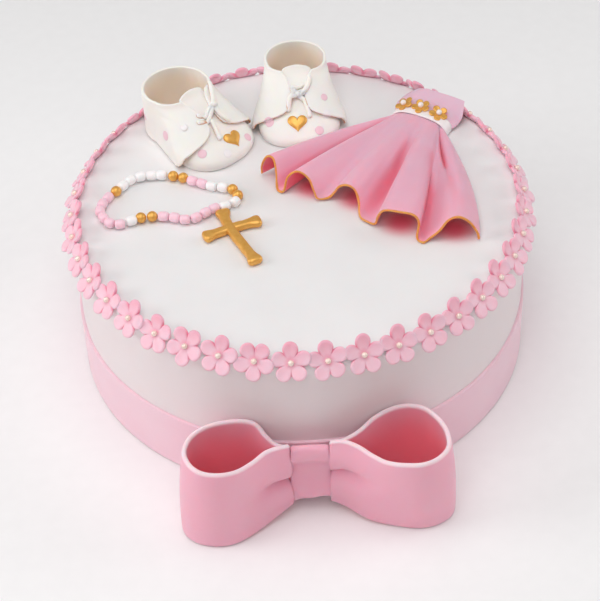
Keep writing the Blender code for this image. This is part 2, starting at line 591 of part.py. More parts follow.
def make_bootee(side, toe_tip, heading, heel_radius, dots, material):
    """One bootee: sole, toe with tongue, heart and dots, heel panel, and its lace."""
    frame = bootee_frame(toe_tip, heading)
    round_shares = np.linspace(-1, 1, 29)[:-1]

    sole_rings = []
    for height in (GAP, GAP + BOOTEE_SOLE_THICKNESS):
        ring = bootee_outline(0, heel_radius, 0.0, round_shares)
        sole_rings.append(np.column_stack([ring, np.full(len(ring), height)]))
    sole = add_object(f"bootee_{side}_sole", loft_mesh("sole", sole_rings), material)
    sole.matrix_world = frame

    toe_rings = []
    rear = -9.2 * MM
    for index in range(len(BOOTEE_LEVELS)):
        ring = bootee_outline(index, heel_radius, 0.0, np.linspace(-1, 1, 241))
        keep = ring[ring[:, 1] > rear + 0.2 * MM]
        front_half = keep[np.argsort(np.arctan2(keep[:, 1] - rear, keep[:, 0]))]
        if index == len(BOOTEE_LEVELS) - 1:
            front_half = front_half * np.array([0.62, 1.0])
        steps = np.concatenate([[0], np.cumsum(np.linalg.norm(np.diff(front_half, axis=0), axis=1))])
        wanted = np.linspace(0, steps[-1], 15)
        arc = np.column_stack([np.interp(wanted, steps, front_half[:, k]) for k in (0, 1)])
        corners = np.array([(arc[-1, 0] * 0.98, rear), (arc[0, 0] * 0.98, rear)])
        ring = np.vstack([arc, corners])
        height = max(BOOTEE_LEVELS[index, 0], 2 * GAP + BOOTEE_SOLE_THICKNESS)
        if index == len(BOOTEE_LEVELS) - 1:
            height += TONGUE_RISE
        toe_rings.append(np.column_stack([ring, np.full(len(ring), height)]))
    toe = add_object(f"bootee_{side}_toe", loft_mesh("toe", toe_rings), material)
    toe.matrix_world = frame
    octagon = [(cos(pi / 4 * k), sin(pi / 4 * k)) for k in range(8)]
    heart = [(0, 1.0), (0.62, 0.35), (0.95, -0.25), (0.8, -0.75), (0.42, -0.85), (0, -0.45),
             (-0.42, -0.85), (-0.8, -0.75), (-0.95, -0.25), (-0.62, 0.35)]
    extras = []
    for index, (x, y, radius) in enumerate(dots):
        centre = Vector((x * MM, y * MM, instep_height(x * MM, y * MM)))
        slope_y = (instep_height(x * MM, y * MM + 2 * MM) - centre.z) / (2 * MM)
        slope_x = (instep_height(x * MM + 1 * MM, y * MM) - instep_height(x * MM - 1 * MM, y * MM)) / (2 * MM)
        tilt = Vector((-slope_x, -slope_y, 1)).to_track_quat('Z', 'Y').to_matrix().to_4x4()
        shape = heart if index == 0 else octagon
        thick = 1.5 * MM if index == 0 else 0.8 * MM
        plate = disc_on_form(f"{side}_plate_{index}", centre, radius * MM, shape, thick, 2.2 * MM, tilt, material)
        plate.matrix_world = frame @ plate.matrix_world
        extras.append(plate)
    fuse(toe, extras)

    rows = []
    shares = np.linspace(-1, 1, 21)
    for index, (height, _, _, _, reach) in enumerate(BOOTEE_LEVELS):
        clearance = (1.05 + 1.4 * np.abs(shares) ** 2) * MM
        ring = bootee_outline(index, heel_radius, BOOTEE_WALL / 2, shares * reach)
        ring += bootee_outward(ring) * clearance[:, None]
        drop = 1.2 * MM * (1 - np.abs(shares)) if index == len(BOOTEE_LEVELS) - 1 else 0 * shares
        rows.append(np.column_stack([ring, height + GAP - drop]))
    panel = sheet_object(f"bootee_{side}_quarter", np.array(rows), BOOTEE_WALL, material)
    panel.matrix_world = frame

    ends = []
    for x, y, above in ((-4.4, 17.2, 5.6), (4.4, 17.2, 5.6), (-6.2, 22.6, 2.9), (6.2, 21.0, 2.9),
                        (-7.6, 4.2, 6.6), (7.6, 6.0, 6.6)):
        ends.append(Vector((x * MM, y * MM, instep_height(x * MM, y * MM) + above * MM)))
    knot_centre = Vector((0.0, 13.6 * MM, instep_height(0.0, 13.6 * MM) + 6.4 * MM))
    knot_mesh = bpy.data.meshes.new("knot")
    ball = bmesh.new()
    bmesh.ops.create_icosphere(ball, subdivisions=1, radius=2.6 * MM, matrix=Matrix.Translation(knot_centre))
    ball.to_mesh(knot_mesh)
    ball.free()
    lace = add_object(f"bootee_{side}_laces", knot_mesh, material)
    lace.matrix_world = frame
    tubes = []
    for index, route in enumerate(((0, 2), (1, 3), (4,), (5,))):
        points = [knot_centre] + [ends[k] for k in route]
        rings = []
        for k, point in enumerate(points):
            way = (points[min(k + 1, len(points) - 1)] - points[max(k - 1, 0)]).normalized()
            sideways = way.cross(Vector((0, 0, 1))).normalized()
            upward = sideways.cross(way)
            rings.append([tuple(point + (sideways * cos(a) + upward * sin(a)) * LACE_RADIUS)
                          for a in (pi * (0.2 + 0.4 * s) for s in range(5))])
        tube = add_object(f"{side}_strand_{index}", loft_mesh("strand", rings), material)
        tube.matrix_world = frame
        tubes.append(tube)
    fuse(lace, tubes)


def main():
    """Make the whole cake."""
    clear_scene()
    cream = icing_material("whipped_white_icing", (0.85, 0.83, 0.82), 0.6)
    band = icing_material("pale_pink_band", (0.86, 0.56, 0.66), 0.55)
    blossom = icing_material("pink_sugar_blossom", (0.79, 0.36, 0.46), 0.6)
    bow = icing_material("pink_bow_paste", (0.80, 0.34, 0.44), 0.5)
    bead = icing_material("rosary_beads", (0.84, 0.50, 0.60), 0.35)
    gold = icing_material("gold_lustre", (0.62, 0.34, 0.06), 0.35, 0.6)
    dress = icing_material("rose_dress_paste", (0.82, 0.34, 0.44), 0.55)
    top = icing_material("lilac_bodice_paste", (0.80, 0.50, 0.60), 0.55)
    white = icing_material("white_sash_paste", (0.86, 0.80, 0.80), 0.5)
    ivory = icing_material("ivory_bootee_paste", (0.88, 0.80, 0.72), 0.55)

    make_cake(cream)
    make_ribbon(band)
    make_blossoms(blossom)
    make_bow(bow)
    make_rosary(bead)
    make_cross(gold)
    make_skirt(dress)
    make_bodice(top)
    make_sash(white)
    left_dots = ((-1.4, 26.0, 4.6), (16.4, 23.6, 2.1), (-10.8, 28.8, 2.3), (9.6, 29.2, 2.3))
    right_dots = ((1.2, 25.0, 4.8), (15.4, 24.2, 2.0), (-11.0, 28.2, 2.5), (-15.2, 23.8, 1.9))
    make_bootee("left", (-33.2 * MM, 37.2 * MM), radians(-47), 16.8 * MM, left_dots, ivory)
    make_bootee("right", (3.6 * MM, 47.0 * MM), radians(-88.4), 15.0 * MM, right_dots, ivory)


main()
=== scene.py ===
import bmesh
import bpy
import numpy as np
from mathutils import Matrix, Vector
from mathutils.bvhtree import BVHTree


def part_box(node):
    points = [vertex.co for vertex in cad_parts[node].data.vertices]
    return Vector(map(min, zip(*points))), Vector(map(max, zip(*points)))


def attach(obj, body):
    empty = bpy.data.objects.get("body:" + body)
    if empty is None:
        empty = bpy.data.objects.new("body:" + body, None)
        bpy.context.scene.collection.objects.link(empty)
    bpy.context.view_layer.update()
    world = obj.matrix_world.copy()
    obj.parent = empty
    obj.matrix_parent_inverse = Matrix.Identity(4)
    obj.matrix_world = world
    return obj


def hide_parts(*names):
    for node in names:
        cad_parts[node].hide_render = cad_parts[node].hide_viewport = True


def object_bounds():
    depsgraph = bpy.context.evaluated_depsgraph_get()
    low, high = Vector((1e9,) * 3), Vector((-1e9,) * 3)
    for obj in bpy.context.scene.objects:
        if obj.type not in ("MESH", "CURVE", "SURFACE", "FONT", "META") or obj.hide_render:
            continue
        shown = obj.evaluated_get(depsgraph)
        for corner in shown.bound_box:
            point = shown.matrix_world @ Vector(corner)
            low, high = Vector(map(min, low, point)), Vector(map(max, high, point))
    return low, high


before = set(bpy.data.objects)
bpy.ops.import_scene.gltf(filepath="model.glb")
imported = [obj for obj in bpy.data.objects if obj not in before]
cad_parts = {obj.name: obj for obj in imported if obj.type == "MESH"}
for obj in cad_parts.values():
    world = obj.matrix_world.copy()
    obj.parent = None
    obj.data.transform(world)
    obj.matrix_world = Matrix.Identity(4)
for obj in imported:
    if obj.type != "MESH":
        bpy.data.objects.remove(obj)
cad_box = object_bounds()
MM = 0.001

# Camera
# The cake is seen from its front through a long lens, looking down by about 43 degrees, with
# the camera rolled a little to one side.
focal_pixels = 1792.15
frame_long_side_pixels = 601
looking_down = np.radians(43.178)
roll = np.radians(-2.6)
camera_data = bpy.data.cameras.new("camera")
camera_data.sensor_width = 36.0
camera_data.lens = camera_data.sensor_width * focal_pixels / frame_long_side_pixels
camera_data.clip_start = 0.01
camera = bpy.data.objects.new("camera", camera_data)
bpy.context.scene.collection.objects.link(camera)
camera.matrix_world = (
    Matrix.Translation((-1.2335 * MM, -762.19 * MM, 736.12 * MM))
    @ Matrix.Rotation(np.pi / 2 - looking_down, 4, "X")
    @ Matrix.Rotation(roll, 4, "Z")
)
bpy.context.scene.camera = camera

# Studio
# A pale sweep of card under the cake, an even room, a large softbox overhead, a strong one low on
# the left, a weaker one low on the right and the weakest in front, so that faces turned to the
# front are the dimmest.
bpy.context.scene.view_settings.view_transform = "Standard"
world = bpy.data.worlds.new("studio")
world.use_nodes = True
room = world.node_tree.nodes["Background"]
room.inputs["Color"].default_value = (1.0, 0.99, 0.99, 1.0)
room.inputs["Strength"].default_value = 0.30
bpy.context.scene.world = world


def softbox(name, place, size, watts):
    """A square area light at a place in metres, turned to face the middle of the cake."""
    data = bpy.data.lights.new(name, "AREA")
    data.shape = "SQUARE"
    data.size = size
    data.energy = watts
    lamp = bpy.data.objects.new(name, data)
    bpy.context.scene.collection.objects.link(lamp)
    aim = Vector((0.0, 0.0, 0.06)) - Vector(place)
    lamp.matrix_world = Matrix.Translation(place) @ aim.to_track_quat("-Z", "Y").to_matrix().to_4x4()


softbox("softbox_overhead", (-0.10, -0.15, 1.28), 0.9, 6.2)
softbox("softbox_left", (-1.20, -0.15, 0.65), 0.7, 5.8)
softbox("softbox_front", (-0.15, -0.95, 1.00), 0.7, 2.6)
softbox("softbox_right", (1.15, 0.15, 0.60), 0.7, 3.6)


def hex_colour(text):
    """Linear red, green, blue and alpha of an sRGB hex value, by the sRGB curve."""
    share = np.array([int(text[start:start + 2], 16) for start in (1, 3, 5)]) / 255
    linear = np.where(share <= 0.04045, share / 12.92, ((share + 0.055) / 1.055) ** 2.4)
    return (*linear.tolist(), 1.0)


def add_node(tree, kind, settings=None, inputs=None, links=None):
    """Add one node to a tree, with its settings, the values of its sockets and the sockets that feed it."""
    node = tree.nodes.new(kind)
    for name, value in (settings or {}).items():
        setattr(node, name, value)
    for name, value in (inputs or {}).items():
        node.inputs[name].default_value = value
    for name, socket in (links or {}).items():
        tree.links.new(socket, node.inputs[name])
    return node


# Matt white card: an even pale ground without gloss
card = bpy.data.materials.new("white_card_sweep")
card.use_nodes = True
card_grain = add_node(card.node_tree, "ShaderNodeTexNoise", inputs={"Scale": 900.0, "Detail": 2.0})
card_shade = add_node(
    card.node_tree, "ShaderNodeMixRGB",
    inputs={"Color1": hex_colour("#F6F5F5"), "Color2": hex_colour("#FAF9F9")},
    links={"Fac": card_grain.outputs["Fac"]},
)
card_shader = card.node_tree.nodes["Principled BSDF"]
card.node_tree.links.new(card_shade.outputs["Color"], card_shader.inputs["Base Color"])
card_shader.inputs["Roughness"].default_value = 0.9
floor_mesh = bpy.data.meshes.new("floor")
floor_mesh.from_pydata([(-4, -3, 0), (4, -3, 0), (4, 5, 0), (-4, 5, 0)], [], [(0, 1, 2, 3)])
floor_mesh.materials.append(card)
floor = bpy.data.objects.new("floor", floor_mesh)
floor.location.z = -0.0002
bpy.context.scene.collection.objects.link(floor)

# Cake
# A round cake coated with soft whipped white icing and smoothed with a palette knife, so its
# faces are flat but not perfect and its top edge is rounded. The icing is one skin, from the
# centre of the top over the edge and down to the foot.
cake_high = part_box("cake")[1]
cake_radius = cake_high.x / MM
cake_top = cake_high.z / MM
edge_rounding = 5.0


def ripples(points, wavelength, seed, count=14):
    """A smooth uneven field from about -1 to 1: a sum of cosines along random ways, with random phases."""
    draws = np.random.default_rng(seed)
    direction = draws.normal(size=(count, 3))
    direction /= np.linalg.norm(direction, axis=1, keepdims=True)
    rate = 2 * np.pi / (wavelength * draws.uniform(0.7, 1.5, count))
    phase = draws.uniform(0, 2 * np.pi, count)
    return np.cos(points @ (direction * rate[:, None]).T + phase).sum(axis=-1) / np.sqrt(count) / 1.5


def grid_quads(rows, columns, around=False):
    """Quads of a grid stored row by row; around joins the last column to the first."""
    row, column = np.meshgrid(np.arange(rows - 1), np.arange(columns - (not around)), indexing="ij")
    here = row * columns + column
    right = row * columns + (column + 1) % columns
    return np.stack([here, right, right + columns, here + columns], axis=-1).reshape(-1, 4)


def ring_body(rings, capped=False):
    """A body from a stack of rings; capped adds the middle of its first and of its last ring."""
    if capped:
        start, end = (np.repeat(ring.mean(axis=1, keepdims=True), rings.shape[1], axis=1)
                      for ring in (rings[:1], rings[-1:]))
        rings = np.concatenate([start, rings, end])
    return rings.reshape(-1, 3), grid_quads(*rings.shape[:2], around=True)


def bell(distance, width):
    """A bell curve: 1 at no distance, about a third at the width and nil far away."""
    return np.exp(-(distance / width) ** 2)


def make_piece(name, points, quads, material, slot, nodes, attributes=None):
    """A finished piece from points in millimetres and quads.

    Points that coincide are welded, which closes seams, rims and poles. The signed volume is the
    sum of the tetrahedra from the origin to each face, and where it is negative every face is
    turned round.
    """
    weld_distance = 0.004 * MM
    corners = points[quads]
    volume = sum((corners[:, 0] * np.cross(corners[:, turn], corners[:, turn + 1])).sum() for turn in (1, 2))
    if volume < 0:
        quads = quads[:, ::-1]
    mesh = bpy.data.meshes.new(name)
    mesh.from_pydata((points * MM).tolist(), [], quads.tolist())
    for label, values in (attributes or {}).items():
        layer = mesh.attributes.new(label, "FLOAT", "POINT")
        layer.data.foreach_set("value", np.asarray(values, dtype=np.float32).ravel())
    shell = bmesh.new()
    shell.from_mesh(mesh)
    bmesh.ops.remove_doubles(shell, verts=shell.verts, dist=weld_distance)
    shell.to_mesh(mesh)
    shell.free()
    mesh.materials.append(material)
    mesh.shade_smooth()
    piece = bpy.data.objects.new(name, mesh)
    bpy.context.scene.collection.objects.link(piece)
    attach(piece, "root")
    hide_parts(*nodes)


def sugar_material(name, light, deep, patch, grain, bump, roughness, softness=0.12, depth=1.5,
                   carry=(1.0, 0.45, 0.40), powder=0.0, metal=0.0, coat=0.0):
    """Principled shader for icing or sugar paste.

    A broad noise, one cell to each patch in millimetres, mixes the light and the deep colour. A
    fine noise, one cell to each grain, drives the bump. Softness is the share of light that
    scatters under the surface, down to the depth in millimetres times the carry of each colour.
    Powder is the dusting that shows at grazing angles, and metal and coat are those of lustre.
    """
    material = bpy.data.materials.new(name)
    material.use_nodes = True
    tree = material.node_tree
    shader = tree.nodes["Principled BSDF"]
    place = add_node(tree, "ShaderNodeTexCoord").outputs["Object"]
    patches = add_node(tree, "ShaderNodeTexNoise", inputs={"Scale": 1000 / patch, "Detail": 3.0},
                       links={"Vector": place})
    colour = add_node(tree, "ShaderNodeMixRGB", links={"Fac": patches.outputs["Fac"]},
                      inputs={"Color1": hex_colour(deep), "Color2": hex_colour(light)})
    grains = add_node(tree, "ShaderNodeTexNoise", links={"Vector": place},
                      inputs={"Scale": 1000 / grain, "Detail": 4.0, "Roughness": 0.6})
    relief = add_node(tree, "ShaderNodeBump", inputs={"Strength": 0.6, "Distance": bump * MM},
                      links={"Height": grains.outputs["Fac"]})
    tree.links.new(colour.outputs["Color"], shader.inputs["Base Color"])
    tree.links.new(relief.outputs["Normal"], shader.inputs["Normal"])
    for socket, value in (("Roughness", roughness), ("Metallic", metal), ("Coat Weight", coat),
                          ("Sheen Weight", powder), ("Subsurface Weight", softness),
                          ("Subsurface Radius", carry), ("Subsurface Scale", depth * MM)):
        shader.inputs[socket].default_value = value
    return material


def tint(material, attribute, colour, start, full):
    """Mix another colour into a paste: none where the attribute is at start, all where it is at full."""
    tree = material.node_tree
    base = tree.nodes["Principled BSDF"].inputs["Base Color"]
    value = add_node(tree, "ShaderNodeAttribute", settings={"attribute_name": attribute})
    fade = add_node(tree, "ShaderNodeMapRange", settings={"interpolation_type": "SMOOTHSTEP"},
                    inputs={"From Min": start, "From Max": full, "To Min": 0.0, "To Max": 1.0},
                    links={"Value": value.outputs["Fac"]})
    mix = add_node(tree, "ShaderNodeMixRGB", inputs={"Color2": hex_colour(colour)},
                   links={"Fac": fade.outputs["Result"], "Color1": base.links[0].from_socket})
    tree.links.new(mix.outputs["Color"], base)


# Whipped icing: soft matt white fat and sugar, with fine air holes and faint knife marks. Down the
# side it is painted a shade pinker, standing for pink light bounced from the ribbon and blossoms,
# and a red glow is painted under the mouths of the dress's folds, standing for light through the skirt.
icing_paste = sugar_material("whipped_icing", "#F0EEEE", "#E9E7E7", 30.0, 0.9, 0.10, 0.62, softness=0.2)
# Painted pink bounce light down the side
tint(icing_paste, "side", "#EFE3E4", 0.0, 1.0)
# Painted red glow round the mouths of the skirt's folds, standing for red light through the dress
tint(icing_paste, "blush", "#F27A8E", 0.08, 1.05)


def icing_surface():
    """The icing as rings round the axis.

    The profile runs out along the top, round a quarter circle at the edge, and down the side to
    the foot. Each point is then drawn in along the profile's normal by a smooth uneven depth.
    """
    depth = 0.30
    top_rings, side_rings = 55, 40
    flat, round_foot = cake_radius - edge_rounding, cake_top - edge_rounding
    turn = np.linspace(0, np.pi / 2, 12)
    radius = np.concatenate([np.linspace(0, flat, top_rings + 1)[:-1], flat + edge_rounding * np.sin(turn),
                             np.full(side_rings, cake_radius), [cake_radius - 0.6, 0.0]])
    height = np.concatenate([np.full(top_rings, cake_top), round_foot + edge_rounding * np.cos(turn),
                             np.linspace(round_foot, 0.8, side_rings + 1)[1:], [0.0, 0.0]])
    normal_out = np.concatenate([np.zeros(top_rings), np.sin(turn), np.ones(side_rings), [0.7, 0.0]])
    normal_up = np.concatenate([np.ones(top_rings), np.cos(turn), np.zeros(side_rings + 2)])
    angle = np.linspace(0, 2 * np.pi, 300, endpoint=False)
    points = np.stack([
        radius[:, None] * np.cos(angle), radius[:, None] * np.sin(angle),
        np.repeat(height[:, None], len(angle), axis=1),
    ], axis=-1)
    uneven = 0.5 + 0.32 * ripples(points, 34.0, 11) + 0.18 * ripples(points * [1, 1, 2.2], 11.0, 12)
    drawn = depth * np.clip(uneven, 0, 1)
    points[:, :, 0] -= drawn * normal_out[:, None] * np.cos(angle)
    points[:, :, 1] -= drawn * normal_out[:, None] * np.sin(angle)
    points[:, :, 2] -= drawn * normal_up[:, None]
    return points


icing = icing_surface()
below_top = cake_top - icing[:, :, 2]
# The painted red glow fades over its radius round each mouth of the skirt's folds
fold_mouths = ((8.5, 12.8), (33.0, 1.0), (55.6, -21.4), (84.2, -28.6))
mouth_distance = np.min([np.linalg.norm(icing[:, :, :2] - mouth, axis=-1) for mouth in fold_mouths], axis=0)
red_glow_radius = 11.0
# The painted pink light sets in 4 mm under the top and is full 8 mm further down
make_piece("icing", *ring_body(icing), icing_paste, "icing", ["cake"], {
    "side": np.clip((below_top - 4) / 8, 0, 1),
    "blush": bell(mouth_distance, red_glow_radius) * (below_top < 2)})

# Ribbon
# A strip of pale pink sugar paste, cut by hand, wrapped round the foot of the cake and pressed into
# the icing. Its cut edges are rounded and its top edge is not quite level.
ribbon_low, ribbon_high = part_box("ribbon")
# Sugar paste rolled smooth: even, matt and a little powdery, pale right through
ribbon_paste = sugar_material("pale_pink_band_paste", "#F9D6E0", "#F6CCD9", 25.0, 0.5, 0.04, 0.55,
                              softness=0.3, powder=0.1)


def rim_shares(count, length, rim):
    """Shares from 0 to 1, evenly spread but for five close steps inside the rounded rim at each end."""
    rounded = (1 - np.cos(np.radians([0.0, 22.5, 45.0, 67.5, 90.0]))) * rim / length
    middle = np.linspace(rounded[-1], 1 - rounded[-1], count)[1:-1]
    return np.concatenate([rounded, middle, 1 - rounded[::-1]])


def edge_distance(shares, length):
    """How far a share of a length lies from the nearer end."""
    return np.minimum(shares, 1 - shares) * length


def rim_swell(distance, rim):
    """How full a sheet is across its rim: a quarter circle from 0 at the edge to 1 at the rim's depth."""
    return np.sqrt(1 - (1 - np.clip(distance / rim, 0, 1)) ** 2)


def unit(vectors):
    """Vectors of length one along the last axis."""
    return vectors / np.maximum(np.linalg.norm(vectors, axis=-1, keepdims=True), 1e-9)


def sheet_body(middle, thickness, to_edge, rim=None, around=False):
    """A closed body round a sheet of paste.

    The middle surface is moved by half the thickness to both sides along its normals, the cross
    product of its two directions. Near the edge it thins over the rim, half the thickness unless
    it is given, so that the sides meet at the edge.
    """
    down, along = np.gradient(middle, axis=(0, 1))
    if around:
        along = np.roll(middle, -1, axis=1) - np.roll(middle, 1, axis=1)
    rows, columns = middle.shape[:2]
    half = thickness / 2 * rim_swell(to_edge, rim or thickness / 2) * np.ones((rows, columns))
    offset = unit(np.cross(down, along)) * half[..., None]
    points = np.concatenate([(middle + offset).reshape(-1, 3), (middle - offset).reshape(-1, 3)])
    quads = grid_quads(rows, columns, around)
    return points, np.concatenate([quads, quads[:, ::-1] + rows * columns])


def ribbon_sheet():
    """The band as a cylinder whose top edge wanders a little, its back pressed into the icing."""
    thickness, rim, wander = 2.5, 0.6, 0.35
    height = (ribbon_high.z - ribbon_low.z) / MM
    shares = rim_shares(18, height, rim)[:, None]
    angle = np.linspace(0, 2 * np.pi, 300, endpoint=False)
    circle = np.stack([np.cos(angle), np.sin(angle), 0 * angle], axis=-1)
    foot = ribbon_low.z / MM
    top = ribbon_high.z / MM - wander + wander * ripples(circle * cake_radius, 60.0, 21)
    middle = (ribbon_high.x / MM - thickness / 2) * np.repeat(circle[None], len(shares), axis=0)
    middle[:, :, 2] = foot + (top - foot) * shares
    return sheet_body(middle, thickness, edge_distance(shares, height), rim, around=True)


make_piece("ribbon_band", *ribbon_sheet(), ribbon_paste, "ribbon", ["ribbon"])

# Border of blossoms
# Blossoms cut from pink flower paste and cupped on a foam pad, so their five lobes rise round
# the middle and the upper ones stand up from the icing. They sit shoulder to shoulder on the edge.
blossom_count = 42
blossom_first_angle = np.radians(-93.3)
# Flower paste dried thin: matt and fine grained, with shade painted as a deeper pink in its middle, its
# creases and on its raised petals
blossom_paste = sugar_material("pink_flower_paste", "#FAD0DC", "#F7C2D2", 6.0, 0.4, 0.03, 0.55, softness=0.45,
                               depth=2.0, carry=(1.0, 0.3, 0.35), powder=0.15)
# Painted shade: a deeper pink in the creases, round the middle and on the raised upper lobes
tint(blossom_paste, "deep", "#EE8FAA", 0.0, 1.0)


def blossom(reach, lobe, thickness, spin, cup, uneven, draws):
    """One blossom: five round lobes in one sheet, as rays from its middle, and its painted shade.

    The outline is the far side of the nearest lobe's circle, the root of a quadratic along the
    ray, and between two circles the foot of their middle line. A lobe rises by the square of the
    distance from the middle and its sides curl up by the square of the share across. The upper
    lobes stand up the most, the lower ones lie down the side, and a crease runs in at each notch.
    Shade is painted as a deeper pink in the creases, round the middle and on the raised upper lobes.
    """
    crease_width, crease_depth, side_curl = 0.13, 0.09, 0.14
    away = reach - lobe
    notch = away * np.cos(np.pi / 5)
    turn = np.linspace(0, 10, 90, endpoint=False)
    inside_turn = (turn + 1) % 2 - 1
    from_axis = np.pi / 5 * np.sign(inside_turn) * (1 - (1 - np.abs(inside_turn)) ** 1.35)
    number = ((turn + 1) // 2).astype(int) % 5
    heading = spin + number * 2 * np.pi / 5 + from_axis
    across = away * np.sin(from_axis)
    outline = away * np.cos(from_axis) + np.sqrt(np.clip(lobe ** 2 - across ** 2, 0, None))
    crown = np.cos(2.5 * from_axis) ** 2
    size = 1 + draws.uniform(-0.05, 0.03, 5)[number] * crown
    shares = np.array([0, 0.22, 0.42, 0.58, 0.71, 0.81, 0.89, 0.945, 0.98, 0.995, 1.0])[:, None]
    distance = shares * outline
    along, aside = distance * np.cos(from_axis), distance * np.sin(from_axis)
    to_edge = np.maximum(lobe - np.hypot(along - away, aside), notch - distance)
    crease = bell(np.pi / 5 - np.abs(from_axis), crease_width) * np.clip(distance / notch, 0, 1) ** 3
    lift = cup * (1 + uneven * (np.sin(heading) + 0.3 * np.cos(heading)))
    lift = lift + cup * draws.uniform(-0.3, 0.3, 5)[number] * crown
    height = lift * (distance / reach) ** 2 + side_curl * lobe * (aside / lobe) ** 2 * along / reach
    height -= crease_depth * lobe * crease
    middle = np.stack([size * distance * np.cos(heading), size * distance * np.sin(heading), height], axis=-1)
    points, quads = sheet_body(middle, thickness, to_edge, around=True)
    sides = points.reshape(2, *middle.shape)
    sides[:, 0] = sides[:, 1].mean(axis=1, keepdims=True)
    raised = np.clip(np.sin(heading), 0, 1) * distance / reach
    # Painted shade: deeper in the creases, round the middle under the pearl and on the raised upper lobes
    deep = np.clip(0.7 * crease + 0.6 * np.exp(-(distance / (0.27 * reach)) ** 4) + 0.5 * raised, 0, 1)
    return points, quads, np.tile(deep.ravel(), 2)


def blossom_places():
    """The turn of each blossom, its spin and the place of its middle, on the icing's rounded edge.

    Each faces out and up by 45 degrees. Most have one petal up, give or take some degrees, and
    about one in five is turned by half a petal more.
    """
    draws = np.random.default_rng(7)
    sunk = 0.3
    inward = edge_rounding - (edge_rounding - sunk) * np.cos(np.pi / 4)
    rows = []
    for index in range(blossom_count):
        angle = blossom_first_angle + 2 * np.pi * index / blossom_count
        spin = np.radians(90 + draws.uniform(-10, 10))
        if draws.random() < 0.2:
            spin += np.radians(36)
        turn = Matrix.Rotation(angle + np.pi / 2, 3, "Z") @ Matrix.Rotation(np.pi / 4, 3, "X")
        reach = cake_radius - inward
        rows.append((np.array(turn), spin,
                     np.array([reach * np.cos(angle), reach * np.sin(angle), cake_top - inward])))
    return rows


def gather(parts):
    """Several bodies of points and quads as one."""
    counts = np.cumsum([0] + [len(points) for points, _ in parts])
    return (np.concatenate([points for points, _ in parts]),
            np.concatenate([quads + first for (_, quads), first in zip(parts, counts)]))


border_draws = np.random.default_rng(31)
border_lift = 0.7
border_parts, border_painted_shade = [], []
for turn, spin, place in blossom_places():
    points, quads, deep = blossom(10.7, 4.05, 2.0, spin, cup=1.5, uneven=1.2, draws=border_draws)
    border_parts.append(((points + [0, 0, border_lift]) @ turn.T + place, quads))
    border_painted_shade.append(deep)
flower_nodes = [f"flower_{number:02d}" for number in range(1, blossom_count + 1)]
make_piece("blossom_petals", *gather(border_parts), blossom_paste, "blossom_paste", flower_nodes,
           {"deep": np.concatenate(border_painted_shade)})

# Blossom pearls
# A champagne sugar pearl sits in each blossom's middle: a small smooth ball with a lustre coat.
# Lustre dust on a polished sugar ball: a soft pearly gloss with a clear highlight
pearl_coat = sugar_material("champagne_pearl_lustre", "#FEF3EC", "#F5D3BF", 3.0, 0.3, 0.01, 0.22,
                            softness=0.05, metal=0.25, coat=0.5)


def squared_off(wave, power):
    """A sine or cosine to a power under 1, its sign kept, which squares the curve that it draws."""
    return np.sign(wave) * np.abs(wave) ** power


def ball(centre, radius, heading=(0.0, 0.0, 1.0), half_length=None, roundness=1.0, rows=11, columns=18):
    """A ball about a centre, as rings of latitude round its heading.

    A half length other than the radius makes it longer or shorter. A roundness under 1 is the
    power of its sines and cosines that squares it toward a drum.
    """
    latitude = np.linspace(-np.pi / 2, np.pi / 2, rows)
    longitude = np.linspace(0, 2 * np.pi, columns, endpoint=False)
    heading = unit(np.asarray(heading, dtype=float))
    side = unit(np.cross(heading, [0.31, 0.17, 0.9]))
    other = np.cross(heading, side)
    reach = radius * np.cos(latitude) ** roundness
    reach[[0, -1]] = 0
    level = (half_length or radius) * squared_off(np.sin(latitude), roundness)
    round_about = np.cos(longitude)[:, None] * side + np.sin(longitude)[:, None] * other
    points = np.asarray(centre) + reach[:, None, None] * round_about + level[:, None, None] * heading
    return ring_body(points)


pearl_parts = [ball(place + turn @ [0.0, 0.0, 2.3], 1.65) for turn, _, place in blossom_places()]
make_piece("blossom_pearls", *gather(pearl_parts), pearl_coat, "blossom_paste", flower_nodes)

# Bow
# A wide strip of pink paste stood on edge and bent into two loops that meet behind a knot. The
# paste is pinched where the knot grips it, so creases run out from it at mid height.
bow_thickness = 2.6
# Sugar paste rolled smooth: satin matt, with light carried far into it. The insides of the loops
# are painted a deeper red-pink glow, and a paler highlight is painted along their top rims
bow_paste = sugar_material("pink_bow_paste", "#F6B9CB", "#F1AFC3", 30.0, 0.4, 0.03, 0.48, softness=0.7,
                           depth=2.5, carry=(1.0, 0.22, 0.28), powder=0.1)
# Painted glow: the insides of the loops are tinted a deeper red-pink
tint(bow_paste, "inside", "#FF8A9C", 0.0, 1.0)
# Painted highlight: a paler pink along the top rim of each loop
tint(bow_paste, "edge", "#FCDFE5", 2.2, 0.5)


def with_ends(line):
    """A line or a stack of rows with one more at each end, as far on as the last step goes."""
    return np.concatenate([2 * line[:1] - line[1:2], line, 2 * line[-1:] - line[-2:-1]])


def spline(line, index, share):
    """The Catmull-Rom curve at a share of the way between two points; the index is that of the one before."""
    before, start, end, after = (line[index + step] for step in range(4))
    bend = 2 * before - 5 * start + 4 * end - after + share * (3 * (start - end) + after - before)
    return start + 0.5 * share * (end - before + share * bend)


def running_length(line):
    """The length of a line from its first point up to each point."""
    return np.concatenate([[0], np.cumsum(np.linalg.norm(np.diff(line, axis=0), axis=1))])


